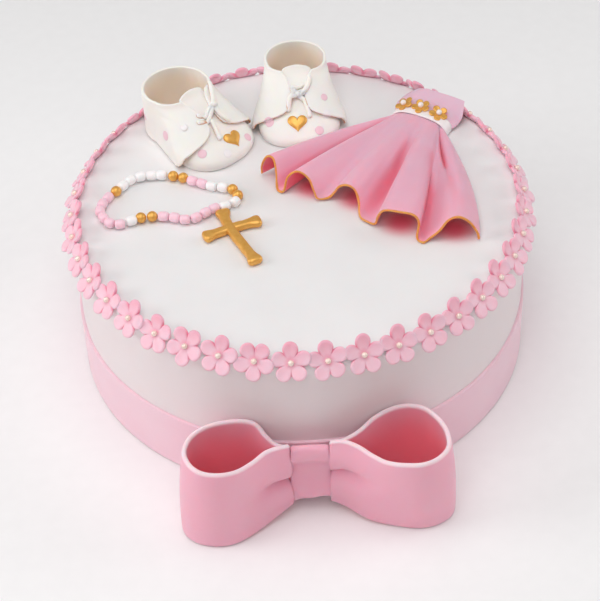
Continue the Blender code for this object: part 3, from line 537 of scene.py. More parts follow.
def smooth_path(points, shares, closed=False):
    """A smooth curve through the points, read at shares of its length."""
    points = np.asarray(points, dtype=float)
    line = np.vstack([points[-1:], points, points[:2]]) if closed else with_ends(points)
    steps = np.linspace(0, 1, 40, endpoint=False)[None, :, None]
    curve = spline(line[:, None], np.arange(len(line) - 3), steps).reshape(-1, points.shape[1])
    curve = np.vstack([curve, line[-2:-1]])
    distance = running_length(curve)
    return np.stack([np.interp(shares * distance[-1], distance, column) for column in curve.T], axis=-1)


def two_sides(points, outward, outer, inner):
    """Shades for both sides of a sheet: the outer one goes to the side that lies toward outward."""
    first, second = points.reshape(2, *outer.shape, 3)
    return np.stack([outer, inner] if ((first - second) * outward).sum() > 0 else [inner, outer])


def bow_loop(top_edge, foot_edge, crease_depth, crease_level):
    """A loop of the bow, from the front of the knot round to its back.

    The wall joins the strip's outer line at its top to that at its foot, and bellies out in
    between. Near the front of the knot a crease sinks in at one level, by a bell curve along and
    across it, and the paste swells above and below it. Inside, a deeper red-pink glow is painted,
    growing toward the foot, and a paler highlight is painted along the top rim.
    """
    strip_width, belly, swell_depth, swell_offset, crease_climb = 50.0, 1.2, 2.2, 0.24, 0.7
    along = np.linspace(0, 1, 120)
    top = smooth_path(top_edge, along)
    foot = smooth_path(foot_edge, along) + [0, 0, 0.3]
    centre_line = 0.5 * (top + foot)
    tangent = np.gradient(centre_line, axis=0)
    outward = unit(np.stack([tangent[:, 1], -tangent[:, 0], 0 * tangent[:, 0]], axis=1))
    outward *= np.sign(((centre_line - centre_line.mean(axis=0)) * outward).sum())
    level = rim_shares(34, strip_width, bow_thickness / 2)[:, None]
    above = level - (crease_level + crease_climb * along)
    crease = crease_depth * bell(along, 0.115) * bell(above, 0.05 + 0.34 * along)
    swell = swell_depth * bell(along, 0.12) * (
        bell(above - swell_offset, 0.15) + bell(above + swell_offset, 0.15))
    bulge = 4 * level * (1 - level) * belly * np.sin(np.pi * along) - crease + swell - 0.1
    wall = foot + (top - foot) * level[:, :, None] + outward * (bulge - bow_thickness / 2)[:, :, None]
    to_edge = edge_distance(level, strip_width)
    points, quads = sheet_body(wall, bow_thickness, to_edge)
    # The distance from the top places the painted rim highlight
    from_top = (1 - level) * strip_width * np.ones(len(along))
    # Painted glow on the inner side, away from the rims and growing toward the foot
    inside = np.clip((to_edge - 0.5) / 2.5, 0, 1) * np.clip(0.25 + from_top / 32, 0, 1)
    rows = len(level)
    caps = []
    for column in (0, len(along) - 1):
        here = np.arange(rows - 1) * len(along) + column
        there = here + rows * len(along)
        cap = np.stack([here, here + len(along), there + len(along), there], axis=-1)
        caps.append(cap if column == 0 else cap[:, ::-1])
    return points, np.concatenate([quads, *caps]), {
        "edge": np.stack([from_top, from_top]), "inside": two_sides(points, outward, 0 * inside, inside)}


# The loops' outlines in millimetres, from the knot's front round to its back
left_top = [(-9.95, -138.9, 48.6), (-20.6, -144.2, 51.0), (-28.6, -151.4, 50.8), (-37.1, -158.2, 52.0),
            (-46.7, -161.4, 53.6), (-56, -159.6, 54), (-62.6, -153, 54), (-65.4, -143.5, 54.5),
            (-61.5, -133.2, 55), (-51.6, -126.2, 55.5), (-37, -123.6, 55.5), (-27.2, -124.8, 54.0),
            (-21.6, -128.8, 48.6), (-17, -131.2, 44.2), (-9.95, -133.2, 43.2)]
left_foot = [(-9.95, -141.2, 5.5), (-19.6, -148.6, 2), (-29.9, -157.0, 0.8), (-40.1, -162.8, 0),
             (-50.2, -164.3, 0), (-60.5, -161.6, 0), (-67.2, -155.6, 0), (-69, -147, 0),
             (-65.2, -136.4, 0), (-54, -129.0, 0), (-39, -127.0, 0), (-28, -129.0, 0.4),
             (-20, -132.0, 2), (-9.95, -132.8, 6)]
right_top = [(10.65, -138.8, 49.8), (17.6, -140.3, 51.6), (24.6, -143.8, 51.2), (31.4, -149.8, 50.6),
             (38.7, -156.0, 51.4), (48.1, -160.0, 53.2), (58.3, -160.7, 54), (67, -156.2, 54),
             (72.8, -147.5, 54.5), (71.2, -134.8, 55.5), (63.2, -122.8, 56), (53.3, -118.6, 56),
             (43.4, -119.4, 55), (34, -123.0, 52.4), (26, -127.4, 47.6), (18.4, -130.8, 45.2),
             (10.65, -133.2, 44.2)]
right_foot = [(10.65, -140.8, 5.5), (18.2, -143.9, 3.6), (26, -149.3, 1.8), (33.5, -153.0, 0.8),
              (45.9, -156.2, 0), (56.8, -158.0, 0), (66.6, -156.0, 0), (74, -150.6, 0),
              (76.4, -142.6, 0), (73.4, -131.0, 0), (65.0, -122.6, 0), (54, -121.0, 0),
              (44.5, -123.2, 0), (35, -128.0, 0.6), (27, -131.6, 1.4), (19, -132.6, 3),
              (10.65, -132.8, 6)]
for side, top_edge, foot_edge, depth, level in (
        ("left", left_top, left_foot, 5.4, 0.40), ("right", right_top, right_foot, 4.4, 0.48)):
    points, quads, shades = bow_loop(top_edge, foot_edge, depth, level)
    make_piece(f"bow_{side}_loop", points, quads, bow_paste, "bow_paste", [f"bow_loop_{side}"], shades)

# Bow knot
# A short strip wrapped over the middle of the bow. Its front sags in a little, its sides are
# rounded over the loops, and its lower edge runs aslant.
knot_low, knot_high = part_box("bow_knot")


def bow_knot():
    """Rings from left to right: a closed profile that shrinks by a quarter circle at each side.

    Its front sags in between the sides, its foot rises to the right, and it widens at mid height.
    """
    profile = smooth_path([(-131.0, 8), (-138.4, 5.2), (-141.6, 8), (-141.0, 15), (-137.4, 24), (-137.2, 31),
                           (-140.8, 38.5), (-139.6, 45.4), (-135.4, 45.0), (-131.4, 37.6), (-130.2, 24)],
                          np.linspace(0, 1, 84, endpoint=False), closed=True)
    low, high, rounding = knot_low.x / MM, knot_high.x / MM, 1.6
    shares = rim_shares(18, high - low, rounding)[:, None]
    shrink = rounding * (1 - rim_swell(edge_distance(shares, high - low), rounding))
    rings = profile - unit(profile - profile.mean(axis=0)) * shrink[:, :, None]
    depth, height = rings[:, :, 0], rings[:, :, 1]
    front = np.clip((-134 - depth) / 4, 0, 1)
    foot = bell(height - 5, 7.0)
    sag = (0.8 * np.sin(np.pi * shares) + 0.5 * np.sin(3 * np.pi * shares) * foot) * front
    rise = 3.6 * np.sqrt(shares) * foot
    widening = 1 + 0.10 * np.sin(np.pi * np.clip(height / 47, 0, 1)) ** 2
    return np.stack([(low + (high - low) * shares) * widening, depth + sag, height + rise], axis=-1)


knot_points, knot_quads = ring_body(bow_knot(), capped=True)
knot_shades = {"edge": np.full(len(knot_points), 9.0), "inside": np.zeros(len(knot_points))}
make_piece("bow_knot_wrap", knot_points, knot_quads, bow_paste, "bow_paste", ["bow_knot"], knot_shades)

# Rosary
# Thirty-one sugar beads pressed end to end in a closed loop: pale pink and white ones shaped as
# small drums, and round ones painted with gold lustre. They lie on the icing.
string_line = [(-100.6, 13.1), (-107.4, 3.5), (-108.4, -7.5), (-99.5, -16), (-85.4, -11.0),
               (-72, -10.9), (-60, -14.3), (-47.6, -7.0), (-34.6, -1.0), (-34.6, 8.6),
               (-48.3, 13.5), (-59.6, 19.6), (-74.2, 25.0), (-90.4, 23.6)]
bead_order = ["gold"] + 6 * ["pink"] + ["white"] + 2 * ["gold"] + 6 * ["pink"] + 2 * ["white"] + 2 * ["gold"]
bead_order += 2 * ["white"] + 2 * ["pink"] + 2 * ["gold"] + 5 * ["white"]
bead_radius = 3.0
# Pressed sugar, smooth with a slight gloss, and lustre paint, a soft gold sheen mottled by the brush
pink_sugar = sugar_material("pale_pink_bead_sugar", "#FED8E3", "#FCCAD9", 3.0, 0.4, 0.02, 0.35, softness=0.4)
white_sugar = sugar_material("white_bead_sugar", "#FEFBFB", "#FAF5F5", 3.0, 0.4, 0.02, 0.35, softness=0.3)
gold_lustre = sugar_material("gold_lustre_paint", "#F4BF66", "#E09C40", 2.2, 0.5, 0.10, 0.34, softness=0.0,
                             metal=0.45)


def bead_string():
    """The beads by colour: evenly spaced along the string's smooth closed line, each headed along it."""
    count = len(bead_order)
    line = smooth_path(string_line, (np.arange(count) + 1 / 6) / count, closed=True)
    way = np.roll(line, -1, axis=0) - np.roll(line, 1, axis=0)
    spacing = np.linalg.norm(way, axis=1) / 2
    draws = np.random.default_rng(5)
    beads = {"gold": [], "pink": [], "white": []}
    for place, heading, gap, colour in zip(line, way, spacing, bead_order):
        centre = (*(place + draws.uniform(-0.3, 0.3, 2)), cake_top + bead_radius + 0.1)
        heading = (*heading, draws.uniform(-0.6, 0.6))
        if colour == "gold":
            beads[colour].append(ball(centre, bead_radius, heading, rows=19, columns=28))
        else:
            radius = bead_radius * draws.uniform(0.88, 0.94)
            beads[colour].append(ball(centre, radius, heading, 0.5 * gap + 0.05, 0.62, rows=23, columns=28))
    return beads


for colour, beads in bead_string().items():
    bead_paste = {"gold": gold_lustre, "pink": pink_sugar, "white": white_sugar}[colour]
    make_piece(f"rosary_{colour}_beads", *gather(beads), bead_paste, "beads", ["rosary"])

# Cross
# Two bars of paste pressed together and painted with gold lustre, lying on the icing. The bars
# are rounded on top, and flare at their blunt ends.
cross_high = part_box("cross")[1].z / MM


def cross_bar(ends, half_width, height):
    """One bar through the middle of the cross, as sections along its line.

    A section is a rounded block: the powers of a cosine and a sine set across and up. The half
    width grows near the ends by a bell curve, and the tips close by a quarter circle.
    """
    line = np.array([ends[0], (-37.4, -23.0), ends[1]])
    length = running_length(line)[-1]
    tip, tip_narrowing, flare, flare_place, flare_reach = 1.8, 1.9, 1.35, 2.2, 3.0
    shares = rim_shares(52, length, tip)
    path = smooth_path(line, shares)
    side = unit(np.gradient(path, axis=0)) @ np.array([[0, 1], [-1, 0]])
    distance = edge_distance(shares, length)
    swell = rim_swell(distance, tip)
    width = half_width + flare * bell(distance - flare_place, flare_reach) - (1 - swell) * tip_narrowing
    angle = np.linspace(0, 2 * np.pi, 36, endpoint=False)
    flat = path[:, None] + side[:, None] * (width[:, None] * squared_off(np.cos(angle), 0.62))[:, :, None]
    up = height / 2 * squared_off(np.sin(angle), 0.8) * (0.35 + 0.65 * swell)[:, None]
    rings = np.concatenate([flat, (cake_top + 0.2 + height / 2 + up)[:, :, None]], axis=-1)
    rings += 0.12 * ripples(rings, 5.0, 41)[:, :, None] * unit(rings - rings.mean(axis=1, keepdims=True))
    return ring_body(rings, capped=True)


cross_height = cross_high - cake_top - 0.35
long_bar = cross_bar([(-42.0, -7.6), (-23.2, -51.8)], 2.85, cross_height)
short_bar = cross_bar([(-52.0, -29.6), (-20.6, -16.8)], 2.75, cross_height - 0.3)
make_piece("gilded_cross", *gather([long_bar, short_bar]), gold_lustre, "gold", ["cross"])

# Dress
# A little christening dress, shown lying on the cake. Its skirt is one thin sheet of rose pink
# paste, gathered at the waist and propped in waves while it set, with a gilded hem.
dress_waist = np.array([70.5, 58.0])
dress_turn = np.radians(-31.5)
dress_right = np.array([np.cos(dress_turn), np.sin(dress_turn), 0.0])
dress_up = np.array([-dress_right[1], dress_right[0], 0.0])
dress_above = np.array([0.0, 0.0, 1.0])
# Thin sugar paste dusted pink: matt, with painted shade in a redder pink down its fold valleys and
# a painted red glow on its under side for light coming through the paste; its hem painted gold
rose_paste = sugar_material("rose_dress_paste", "#F8B9CB", "#F5ACC1", 14.0, 0.35, 0.03, 0.5, softness=0.8,
                            depth=3.5, carry=(1.0, 0.12, 0.14), powder=0.15)
tint(rose_paste, "fold", "#F5788E", 0.0, 1.0)
tint(rose_paste, "hem", "#DE9C45", 0.95, 0.6)
hem_line = [(-19.8, 24.2, 1.6), (-19.6, 23.4, 8), (-16.6, 21.6, 15.4), (-12.9, 18.2, 16.2),
            (-11.6, 13.8, 9.4), (-11.6, 9.6, 1.9), (-8.2, 7.0, 1.9), (-5.4, 8.6, 10.6),
            (0.2, 7.4, 15.2), (6.0, 4.9, 12.2), (8.8, 1.4, 6), (10.8, -0.6, 1.7),
            (16.8, -0.4, 1.7), (20.2, -0.8, 6), (22.8, -3.0, 11.6), (27.2, -6.0, 14.8),
            (31.2, -7.8, 12.6), (33.0, -10.8, 6.6), (33.4, -17.0, 1.7), (37.2, -21.8, 1.6),
            (41.2, -24.9, 2.4), (42.8, -25.8, 8.4), (46.2, -28.2, 14.4), (54.0, -31.2, 15.4),
            (61.6, -33.3, 14.4), (64.3, -34.2, 9.4), (63.2, -37.4, 2.6), (66.2, -40.4, 1.7),
            (70.0, -38.6, 2.4), (75.0, -38.6, 7), (80.0, -37.2, 13.2), (85.6, -38.2, 15.8),
            (91.4, -38.0, 11.6), (95.4, -39.2, 5.4), (96.4, -40.2, 1.6)]


def dress_place(across, along, height):
    """Places on the dress: across its waist, along it to the neck, and above the icing."""
    across, along, height = np.broadcast_arrays(across, along, height)
    flat = across[..., None] * dress_right + along[..., None] * dress_up
    return flat + [*dress_waist, cake_top] + height[..., None] * dress_above


def groove(down, along, line, width, span):
    """A furrow down the skirt, from 0 to 1.

    Its line gives the share of the hem at shares of the way down. Across the line it is a bell
    curve, and down it half a sine between the ends of its span.
    """
    middle = np.interp(down, *np.array(line).T)
    reach = np.clip((down - span[0]) / (span[1] - span[0]), 0, 1)
    return bell(along - middle, width) * np.sin(np.pi * reach) ** 0.8


def skirt_sheet():
    """The skirt from the waist's arch to the hem.

    The height runs from waist to hem by a power of the way down, which is 1 but for one valley
    that fades out sooner. Furrows deepen the valleys, and a pinch dips in beside the right hip.
    """
    thickness, length, hem_length = 1.3, 80.0, 228.0
    along = rim_shares(300, hem_length, thickness / 2)
    down = rim_shares(90, length, thickness / 2)[:, None]
    hem = smooth_path(hem_line, along) + [0, 0, cake_top]
    arch = np.pi * (along - 0.5) * 0.999
    waist = dress_place(15.8 * np.sin(arch), 3.4, 1.9 + 6.4 * np.cos(arch) ** 0.7)
    fading = 1 + 1.4 * bell(along - 0.36, 0.06)
    spread = 6.0 * bell(1 - along, 0.16) - 2.6 * bell(along, 0.16)
    grid = waist + (hem - waist) * down[:, :, None]
    grid[:, :, 2] = waist[:, 2] + (hem[:, 2] - waist[:, 2]) * down ** fading
    grid[:, :, :2] += dress_right[:2] * (4 * down * (1 - down) * spread)[:, :, None]
    left = groove(down, along, [(0.1, 0.13), (0.4, 0.18), (1, 0.17)], 0.03, (0.05, 1.0))
    middle = groove(down, along, [(0.2, 0.54), (0.55, 0.572), (1, 0.555)], 0.027, (0.2, 1.0))
    right = groove(down, along, [(0.35, 0.745), (0.6, 0.787), (1, 0.797)], 0.027, (0.3, 1.05))
    hip_line = [(0, 0.80), (0.27, 0.846), (0.5, 0.88), (0.8, 0.91)]
    pinch = groove(down, along, hip_line, 0.019, (0.0, 0.42))
    trail = groove(down, along, hip_line, 0.022, (0.05, 0.95))
    rise = 2.2 * np.sin(np.pi * down) * np.sin(np.pi * along)
    grid[:, :, 2] += rise - 1.2 * left - 3.6 * middle - 3.0 * right - 3.4 * pinch - 1.2 * trail
    grid[:, :, 2] += 0.35 * ripples(grid, 26.0, 61) * np.sin(np.pi * down)
    grid[:, :, 2] = np.maximum(grid[:, :, 2], cake_top + 0.2 + thickness / 2)
    to_edge = np.minimum(edge_distance(down, length), edge_distance(along, hem_length))
    points, quads = sheet_body(grid, thickness, to_edge)
    # Painted shade: the valleys, the pinch and its trail are tinted a redder pink on the upper side
    shade = 0.75 * np.sqrt(left) + 0.95 * middle ** 0.6 + 0.75 * np.sqrt(right)
    shade = np.clip(shade + 0.9 * pinch + 0.35 * trail, 0, 1)
    # Painted red glow on the under side, standing for light coming through the paste
    under = np.clip((1 - down) * length / 2, 0, 1) * np.ones(len(along))
    to_hem = (1 - down) * length * (1 + 0.35 * ripples(grid[-1], 9.0, 62))
    return points, quads, {
        "fold": two_sides(points, dress_above, shade, under), "hem": np.stack([to_hem, to_hem])}


skirt_points, skirt_quads, skirt_shades = skirt_sheet()
make_piece("dress_skirt_sheet", skirt_points, skirt_quads, rose_paste, "dress_paste", ["dress_skirt"],
           skirt_shades)

# Bodice
# A lilac pink sheet arched over the icing from the sash to the straight neck. Its left side lies
# down; its right side lifts, and where it turns under, shade is painted as a deeper pink.
# Thin sugar paste smoothed by hand: a satin surface, with painted shade in a deeper pink on its under side
lilac_paste = sugar_material("lilac_bodice_paste", "#F3C8D8", "#EEBDD0", 16.0, 0.3, 0.02, 0.42, softness=0.7,
                             depth=4.0, carry=(1.0, 0.25, 0.32), powder=0.15)
tint(lilac_paste, "fold", "#E8708A", 0.0, 1.0)


def smooth_rows(rows, wanted):
    """A smooth surface through rows of points, read at positions counted in rows."""
    index = np.clip(wanted.astype(int), 0, len(rows) - 2)
    return spline(with_ends(rows), index, (wanted - index)[:, None, None])


def bodice_sheet():
    """The bodice through its stations.

    Each station has its place along the dress, its reach to left and right, the height of its
    crest and that of its right end. A row is flat in the middle and rolls off to its ends by the
    fourth power of the share across.
    """
    stations = ((6.4, 17.2, 16.8, 6.6, 1.7), (13, 20.2, 19.4, 7.4, 2.4), (17.4, 21.2, 20.4, 8.8, 4.8),
                (22, 20.6, 19.2, 9.6, 7.4), (27.6, 18.0, 17.0, 9.8, 9.2))
    thickness, width, length = 1.4, 48.0, 24.0
    share = rim_shares(90, width, thickness / 2) * 2 - 1
    rows = []
    for along, left, right, crest, right_end in stations:
        reach = np.where(share < 0, left, right)
        end = np.where(share < 0, 1.7, right_end)
        rows.append(dress_place(reach * share, along, crest - (crest - end) * share ** 4))
    down = rim_shares(44, length, thickness / 2)
    middle = smooth_rows(np.array(rows), down * (len(stations) - 1))
    to_edge = np.minimum(edge_distance(down, length)[:, None], edge_distance((share + 1) / 2, width))
    points, quads = sheet_body(middle, thickness, to_edge)
    # Painted shade on the under side, fading in over the first millimetre from the edges
    under = np.clip(to_edge, 0, 1)
    return points, quads, {"fold": two_sides(points, dress_above, 0 * under, under)}


bodice_points, bodice_quads, bodice_shades = bodice_sheet()
make_piece("dress_bodice_sheet", bodice_points, bodice_quads, lilac_paste, "bodice_paste", ["dress_bodice"],
           bodice_shades)

# Sash
# A white paste band over the waist, where the skirt meets the bodice, down to the icing at both
# sides. Three small blossoms painted gold sit on it, each with a white sugar pearl.
# White sugar paste left matt, and polished sugar pearls with a clear gloss
white_paste = sugar_material("white_sash_paste", "#FAF3F3", "#F3EAEA", 12.0, 0.3, 0.02, 0.45)
pearl_sugar = sugar_material("white_sugar_pearl", "#FBF4F0", "#F3E8E2", 3.0, 0.3, 0.01, 0.25,
                             softness=0.05, coat=0.5)


def sash_band():
    """The band over the waist: powers of the sine across and of the cosine up.

    It is a little higher toward the bodice and wider at its feet.
    """
    thickness, length, width, place = 1.2, 44.0, 5.8, 5.9
    share = rim_shares(120, length, thickness / 2)
    angle = np.pi * (share - 0.5) * 0.999
    up_share = rim_shares(16, width, thickness / 2)[:, None]
    flare = 1 + 0.35 * np.sin(angle) ** 4
    middle = dress_place(17.4 * squared_off(np.sin(angle), 0.8), place + width * (up_share - 0.5) * flare,
                         0.4 + (9.0 + 0.6 * up_share) * np.cos(angle) ** 0.6)
    to_edge = np.minimum(edge_distance(up_share, width), edge_distance(share, length))
    return sheet_body(middle, thickness, to_edge)


make_piece("dress_sash_band", *sash_band(), white_paste, "sash_paste", ["dress_sash"])
sash_draws = np.random.default_rng(13)
gold_parts, pearl_parts = [], []
for across, along, height, lean in ((-12.6, 9.0, 9.2, -22), (-2.0, 9.4, 10.9, -4), (9.4, 9.2, 9.9, 16)):
    tilt = np.array(Matrix.Rotation(dress_turn, 3, "Z") @ Matrix.Rotation(np.radians(lean), 3, "Y")
                    @ Matrix.Rotation(np.radians(8), 3, "X"))
    place = dress_place(across, along, height)
    spin = sash_draws.uniform(0, 1.2)
    points, quads, _ = blossom(5.6, 2.05, 1.1, spin, cup=0.7, uneven=0.35, draws=sash_draws)
    gold_parts.append((points @ tilt.T + place, quads))
    pearl_parts.append(ball(place + tilt @ [0.0, 0.0, 1.6], 1.7))
make_piece("sash_gold_blossoms", *gather(gold_parts), gold_lustre, "gold", ["dress_sash"])
make_piece("sash_pearls", *gather(pearl_parts), pearl_sugar, "sash_paste", ["dress_sash"])

# Bootees
# A pair of baby bootees cut from ivory sugar paste and shaped over a form. Each has a thin sole,
# an upper that runs over the toe and up into a rounded tongue, a panel wrapped round the heel
# whose front flaps overlap the upper, a lace, and a heart and dots pressed on.
# Ivory sugar paste smoothed by hand: matt and faintly uneven, with a painted peach glow inside that
# stands for light coming through the walls, and painted brown shadow along its seams and under the
# laces; the dots are plain matt paste
ivory_paste = sugar_material("ivory_bootee_paste", "#FBF5F0", "#F8F0EA", 9.0, 0.35, 0.05, 0.55, softness=0.5,
                             depth=2.5, carry=(1.0, 0.62, 0.42), powder=0.1)
# Painted peach glow inside the upper and the heel panel
tint(ivory_paste, "inside", "#FFEBDB", 0.0, 1.0)
# Painted brown shadow along the seams and under the laces
tint(ivory_paste, "seam", "#CF8446", 0.0, 1.0)
pink_dot_paste = sugar_material("pale_pink_dot_paste", "#F6D0DA", "#F2C6D2", 6.0, 0.3, 0.02, 0.5)
white_dot_paste = sugar_material("white_dot_paste", "#FBF5F5", "#F6EEEE", 6.0, 0.3, 0.02, 0.5)

# Each level of the shoe's form in millimetres: height above the icing, where the front of its
# outline lies, the half width and depth of that rounded front, and how far round the heel panel
# reaches, as a share of the way from the heel to the toe
bootee_levels = np.array([
    (0.5, 33.6, 23.4, 22.2, 0.60), (4.6, 34.4, 23.8, 23.0, 0.64), (8.2, 30.8, 22.8, 21.8, 0.68),
    (12.2, 24.0, 20.6, 19.8, 0.78), (17.4, 16.2, 18.2, 17.4, 0.925), (22.4, 8.2, 16.2, 15.2, 0.94),
    (26.7, 0.5, 15.0, 13.6, 0.90), (30.1, -3.0, 14.4, 10.4, 0.84),
])
heel_centre = -15.5
toe_reach = 34.0
above_shoe = 60
down = (0, 0, -1)


def levels_at(shares):
    """The form's levels, read smoothly at shares of the way up through them."""
    return smooth_rows(bootee_levels[:, None], shares * (len(bootee_levels) - 1))[:, 0]


def side_outline(level, heel_radius, offset):
    """The right side of one level from heel to toe, moved outward by the offset, and its length so far.

    It is a quarter circle round the heel, a straight side, and a quarter of a superellipse round
    the toe. The sides are never much narrower than the heel.
    """
    front, half_width, depth = level[1:4]
    half_width = max(half_width, heel_radius - 0.6)
    heel = np.linspace(-np.pi / 2, 0.12, 40)
    toe = np.linspace(0.06, np.pi / 2, 60)
    outline = np.vstack([
        np.column_stack([(heel_radius + offset) * np.cos(heel),
                         heel_centre + (heel_radius + offset) * np.sin(heel)]),
        np.column_stack([(half_width + offset) * np.cos(toe) ** 0.82,
                         front - depth + (depth + offset) * np.sin(toe) ** 0.82]),
    ])
    return outline, running_length(outline)


def around_outline(outline, running, distance):
    """Points at distances from the heel; negative distances go down the left side."""
    x = np.interp(np.abs(distance), running, outline[:, 0]) * np.where(distance < 0, -1, 1)
    return np.column_stack([x, np.interp(np.abs(distance), running, outline[:, 1])])


def sole_body(heel_radius):
    """The sole: the lowest outline as rings that curve round its cut edge and close on both faces."""
    outline, running = side_outline(bootee_levels[0], heel_radius, 0.0)
    ring = around_outline(outline, running, np.linspace(-1, 1, 161)[:-1] * running[-1])
    middle = ring.mean(axis=0)
    inward = unit(middle - ring)
    rings = []
    for share, inset, height in ((0, 0, 0.1), (1, 1.2, 0.1), (1, 0.4, 0.25), (1, 0, 0.7), (1, 0, 1.2),
                                 (1, 0.35, 1.65), (1, 1.1, 1.85), (0, 0, 1.85)):
        flat = middle + (ring - middle) * share + inward * inset
        rings.append(np.column_stack([flat, np.full(len(ring), height)]))
    return ring_body(np.array(rings))


def upper_sheet(heel_radius):
    """The upper and tongue as one sheet over the form's front.

    At each height it reaches to both sides of the toe by a half length: all round the toe below,
    the tongue's half width above, and closing in a round end at the top.
    """
    thickness, top = 1.8, 31.9
    heights = [0, 8, 12.5, 17, 21.5, 25.5, 28, 29.6, 30.8, 31.5, top]
    half_lengths = [58, 48, 31, 17, 10.6, 9.6, 9.0, 8.0, 6.0, 3.6, 0.9]
    share = rim_shares(120, 40.0, thickness / 2) * 2 - 1
    rows, distances = [], []
    for level in levels_at(rim_shares(70, 46.0, thickness / 2)):
        height = max(level[0], 1.9) + 1.8 * np.clip((level[0] - 22) / 8.1, 0, 1) ** 2
        outline, running = side_outline(level, heel_radius, -thickness / 2)
        half_length = np.interp(height, heights, half_lengths)
        distance = running[-1] - np.abs(share) * half_length
        row = around_outline(outline, running, np.where(share < 0, -distance, distance))
        rows.append(np.column_stack([row, np.full(len(share), height)]))
        distances.append(np.minimum((1 - np.abs(share)) * half_length, 2.2 * (top - height)))
    to_edge = np.array(distances)
    points, quads = sheet_body(np.array(rows), thickness, to_edge)
    # Painted peach glow on the inner side, fading in over 3 mm from the edges
    inside = 0.9 * np.clip(to_edge / 3, 0, 1)
    return points, quads, {"inside": two_sides(points, [0, 1, 0], 0 * inside, inside),
                           "seam": np.zeros((2, *inside.shape))}


def heel_panel(heel_radius):
    """The panel round the heel, clear of the upper, more so toward its front edges.

    Its reach round the form grows from the sole to the lace and falls back to the rim. Inside it
    is painted with a peach glow, most at the heel, and a brown line of shadow is painted along its
    lower edges, up to the corners that the lace draws together.
    """
    thickness, length, height = 1.7, 132.0, 31.0
    clearance, flare, back_drop = 1.0, 1.1, 1.2
    share = rim_shares(150, length, thickness / 2) * 2 - 1
    position = rim_shares(60, height, thickness / 2)
    rows = []
    for level in levels_at(position):
        outline, running = side_outline(level, heel_radius, clearance)
        row = around_outline(outline, running, share * level[4] * running[-1])
        way = np.gradient(row, axis=0)
        outward = unit(np.column_stack([way[:, 1], -way[:, 0]]))
        row = row + outward * (clearance + flare * share ** 2)[:, None]
        drop = back_drop * (1 - np.abs(share)) * np.clip((level[0] - 23) / 7.1, 0, 1)
        rows.append(np.column_stack([row, level[0] + 0.1 - drop]))
    middle = np.array(rows)
    to_side = edge_distance((share + 1) / 2, length)
    to_edge = np.minimum(edge_distance(position, height)[:, None], to_side)
    points, quads = sheet_body(middle, thickness, to_edge)
    outward = (middle - middle.mean(axis=(0, 1))) * [1, 1, 0]
    depth = np.clip((1 - position)[:, None] * height / 12, 0.25, 1)
    # Painted peach glow on the inner side, most at the heel and deep down
    inside = np.clip(to_edge / 1.5, 0, 1) * depth * np.clip(1.9 - 1.6 * np.abs(share), 0, 1)
    # Painted brown shadow along the panel's lower edges, stopping below the corners
    low_edge = np.minimum(position[:, None] * height, to_side)
    seam = np.clip(1.3 - low_edge / 0.8, 0, 1) * np.clip((0.72 - position[:, None]) / 0.06, 0, 1)
    return points, quads, {"inside": two_sides(points, outward, 0 * inside, inside),
                           "seam": two_sides(points, outward, 0.15 * seam, seam)}


def strand(line, radius):
    """A cord of paste along a smooth line of points, closed by a quarter circle at each end."""
    line = np.array(line, dtype=float)
    length = running_length(line)[-1]
    shares = rim_shares(max(8, int(length * 2.2)), length, radius)
    path = smooth_path(line, shares)
    way = unit(np.gradient(path, axis=0))
    side = unit(np.cross(way, [0.0, 0.0, 1.0]))
    above = np.cross(side, way)
    swell = radius * rim_swell(edge_distance(shares, length), radius)
    angle = np.linspace(0, 2 * np.pi, 14, endpoint=False)
    turn = np.cos(angle)[:, None] * side[:, None] + np.sin(angle)[:, None] * above[:, None]
    return ring_body(path[:, None] + swell[:, None, None] * turn)


def land(tree, start, direction=down):
    """Where a ray meets a surface, and the surface's normal there, turned toward the start."""
    place, normal, _, _ = tree.ray_cast(Vector(start), Vector(direction))
    if place is None:
        return None, None
    normal = np.array(normal)
    return np.array(place), normal if normal @ direction < 0 else -normal


def pressed(tree, place, normal, forward, outline, thickness, sink):
    """A small piece pressed on a surface.

    Rings shrink from its outline to its middle. Each point is laid on the surface along the
    normal, and lifted by the thickness, which falls to nil at the outline by a rounded profile.
    """
    across = unit(np.cross(forward, normal))
    forward = np.cross(normal, across)
    scales = np.array([0.0, 0.3, 0.55, 0.74, 0.87, 0.95, 0.99, 1.0])
    lifts = thickness * (1 - scales ** 3.2) ** (1 / 2.2)
    rings = []
    for scale, lift in zip(scales, lifts):
        start = place + normal * 4 + scale * (outline[:, :1] * across + outline[:, 1:] * forward)
        hits = [land(tree, tuple(point), tuple(-normal))[0] for point in start]
        hits = [point - normal * 4 if hit is None else hit for hit, point in zip(hits, start)]
        rings.append(np.array(hits) + normal * (lift + 0.05))
    rings.append(rings[-1] - normal * sink)
    rings.append(np.repeat(rings[-1].mean(axis=0, keepdims=True), len(outline), axis=0))
    return ring_body(np.array(rings))


turn_steps = np.linspace(0, 2 * np.pi, 48, endpoint=False)
waves = [np.cos(number * turn_steps) for number in range(5)]
round_outline = np.column_stack([waves[1], np.sin(turn_steps)])
heart_outline = np.column_stack([
    16 * np.sin(turn_steps) ** 3, 5 * waves[2] + 2 * waves[3] + waves[4] - 13 * waves[1]]) / 16


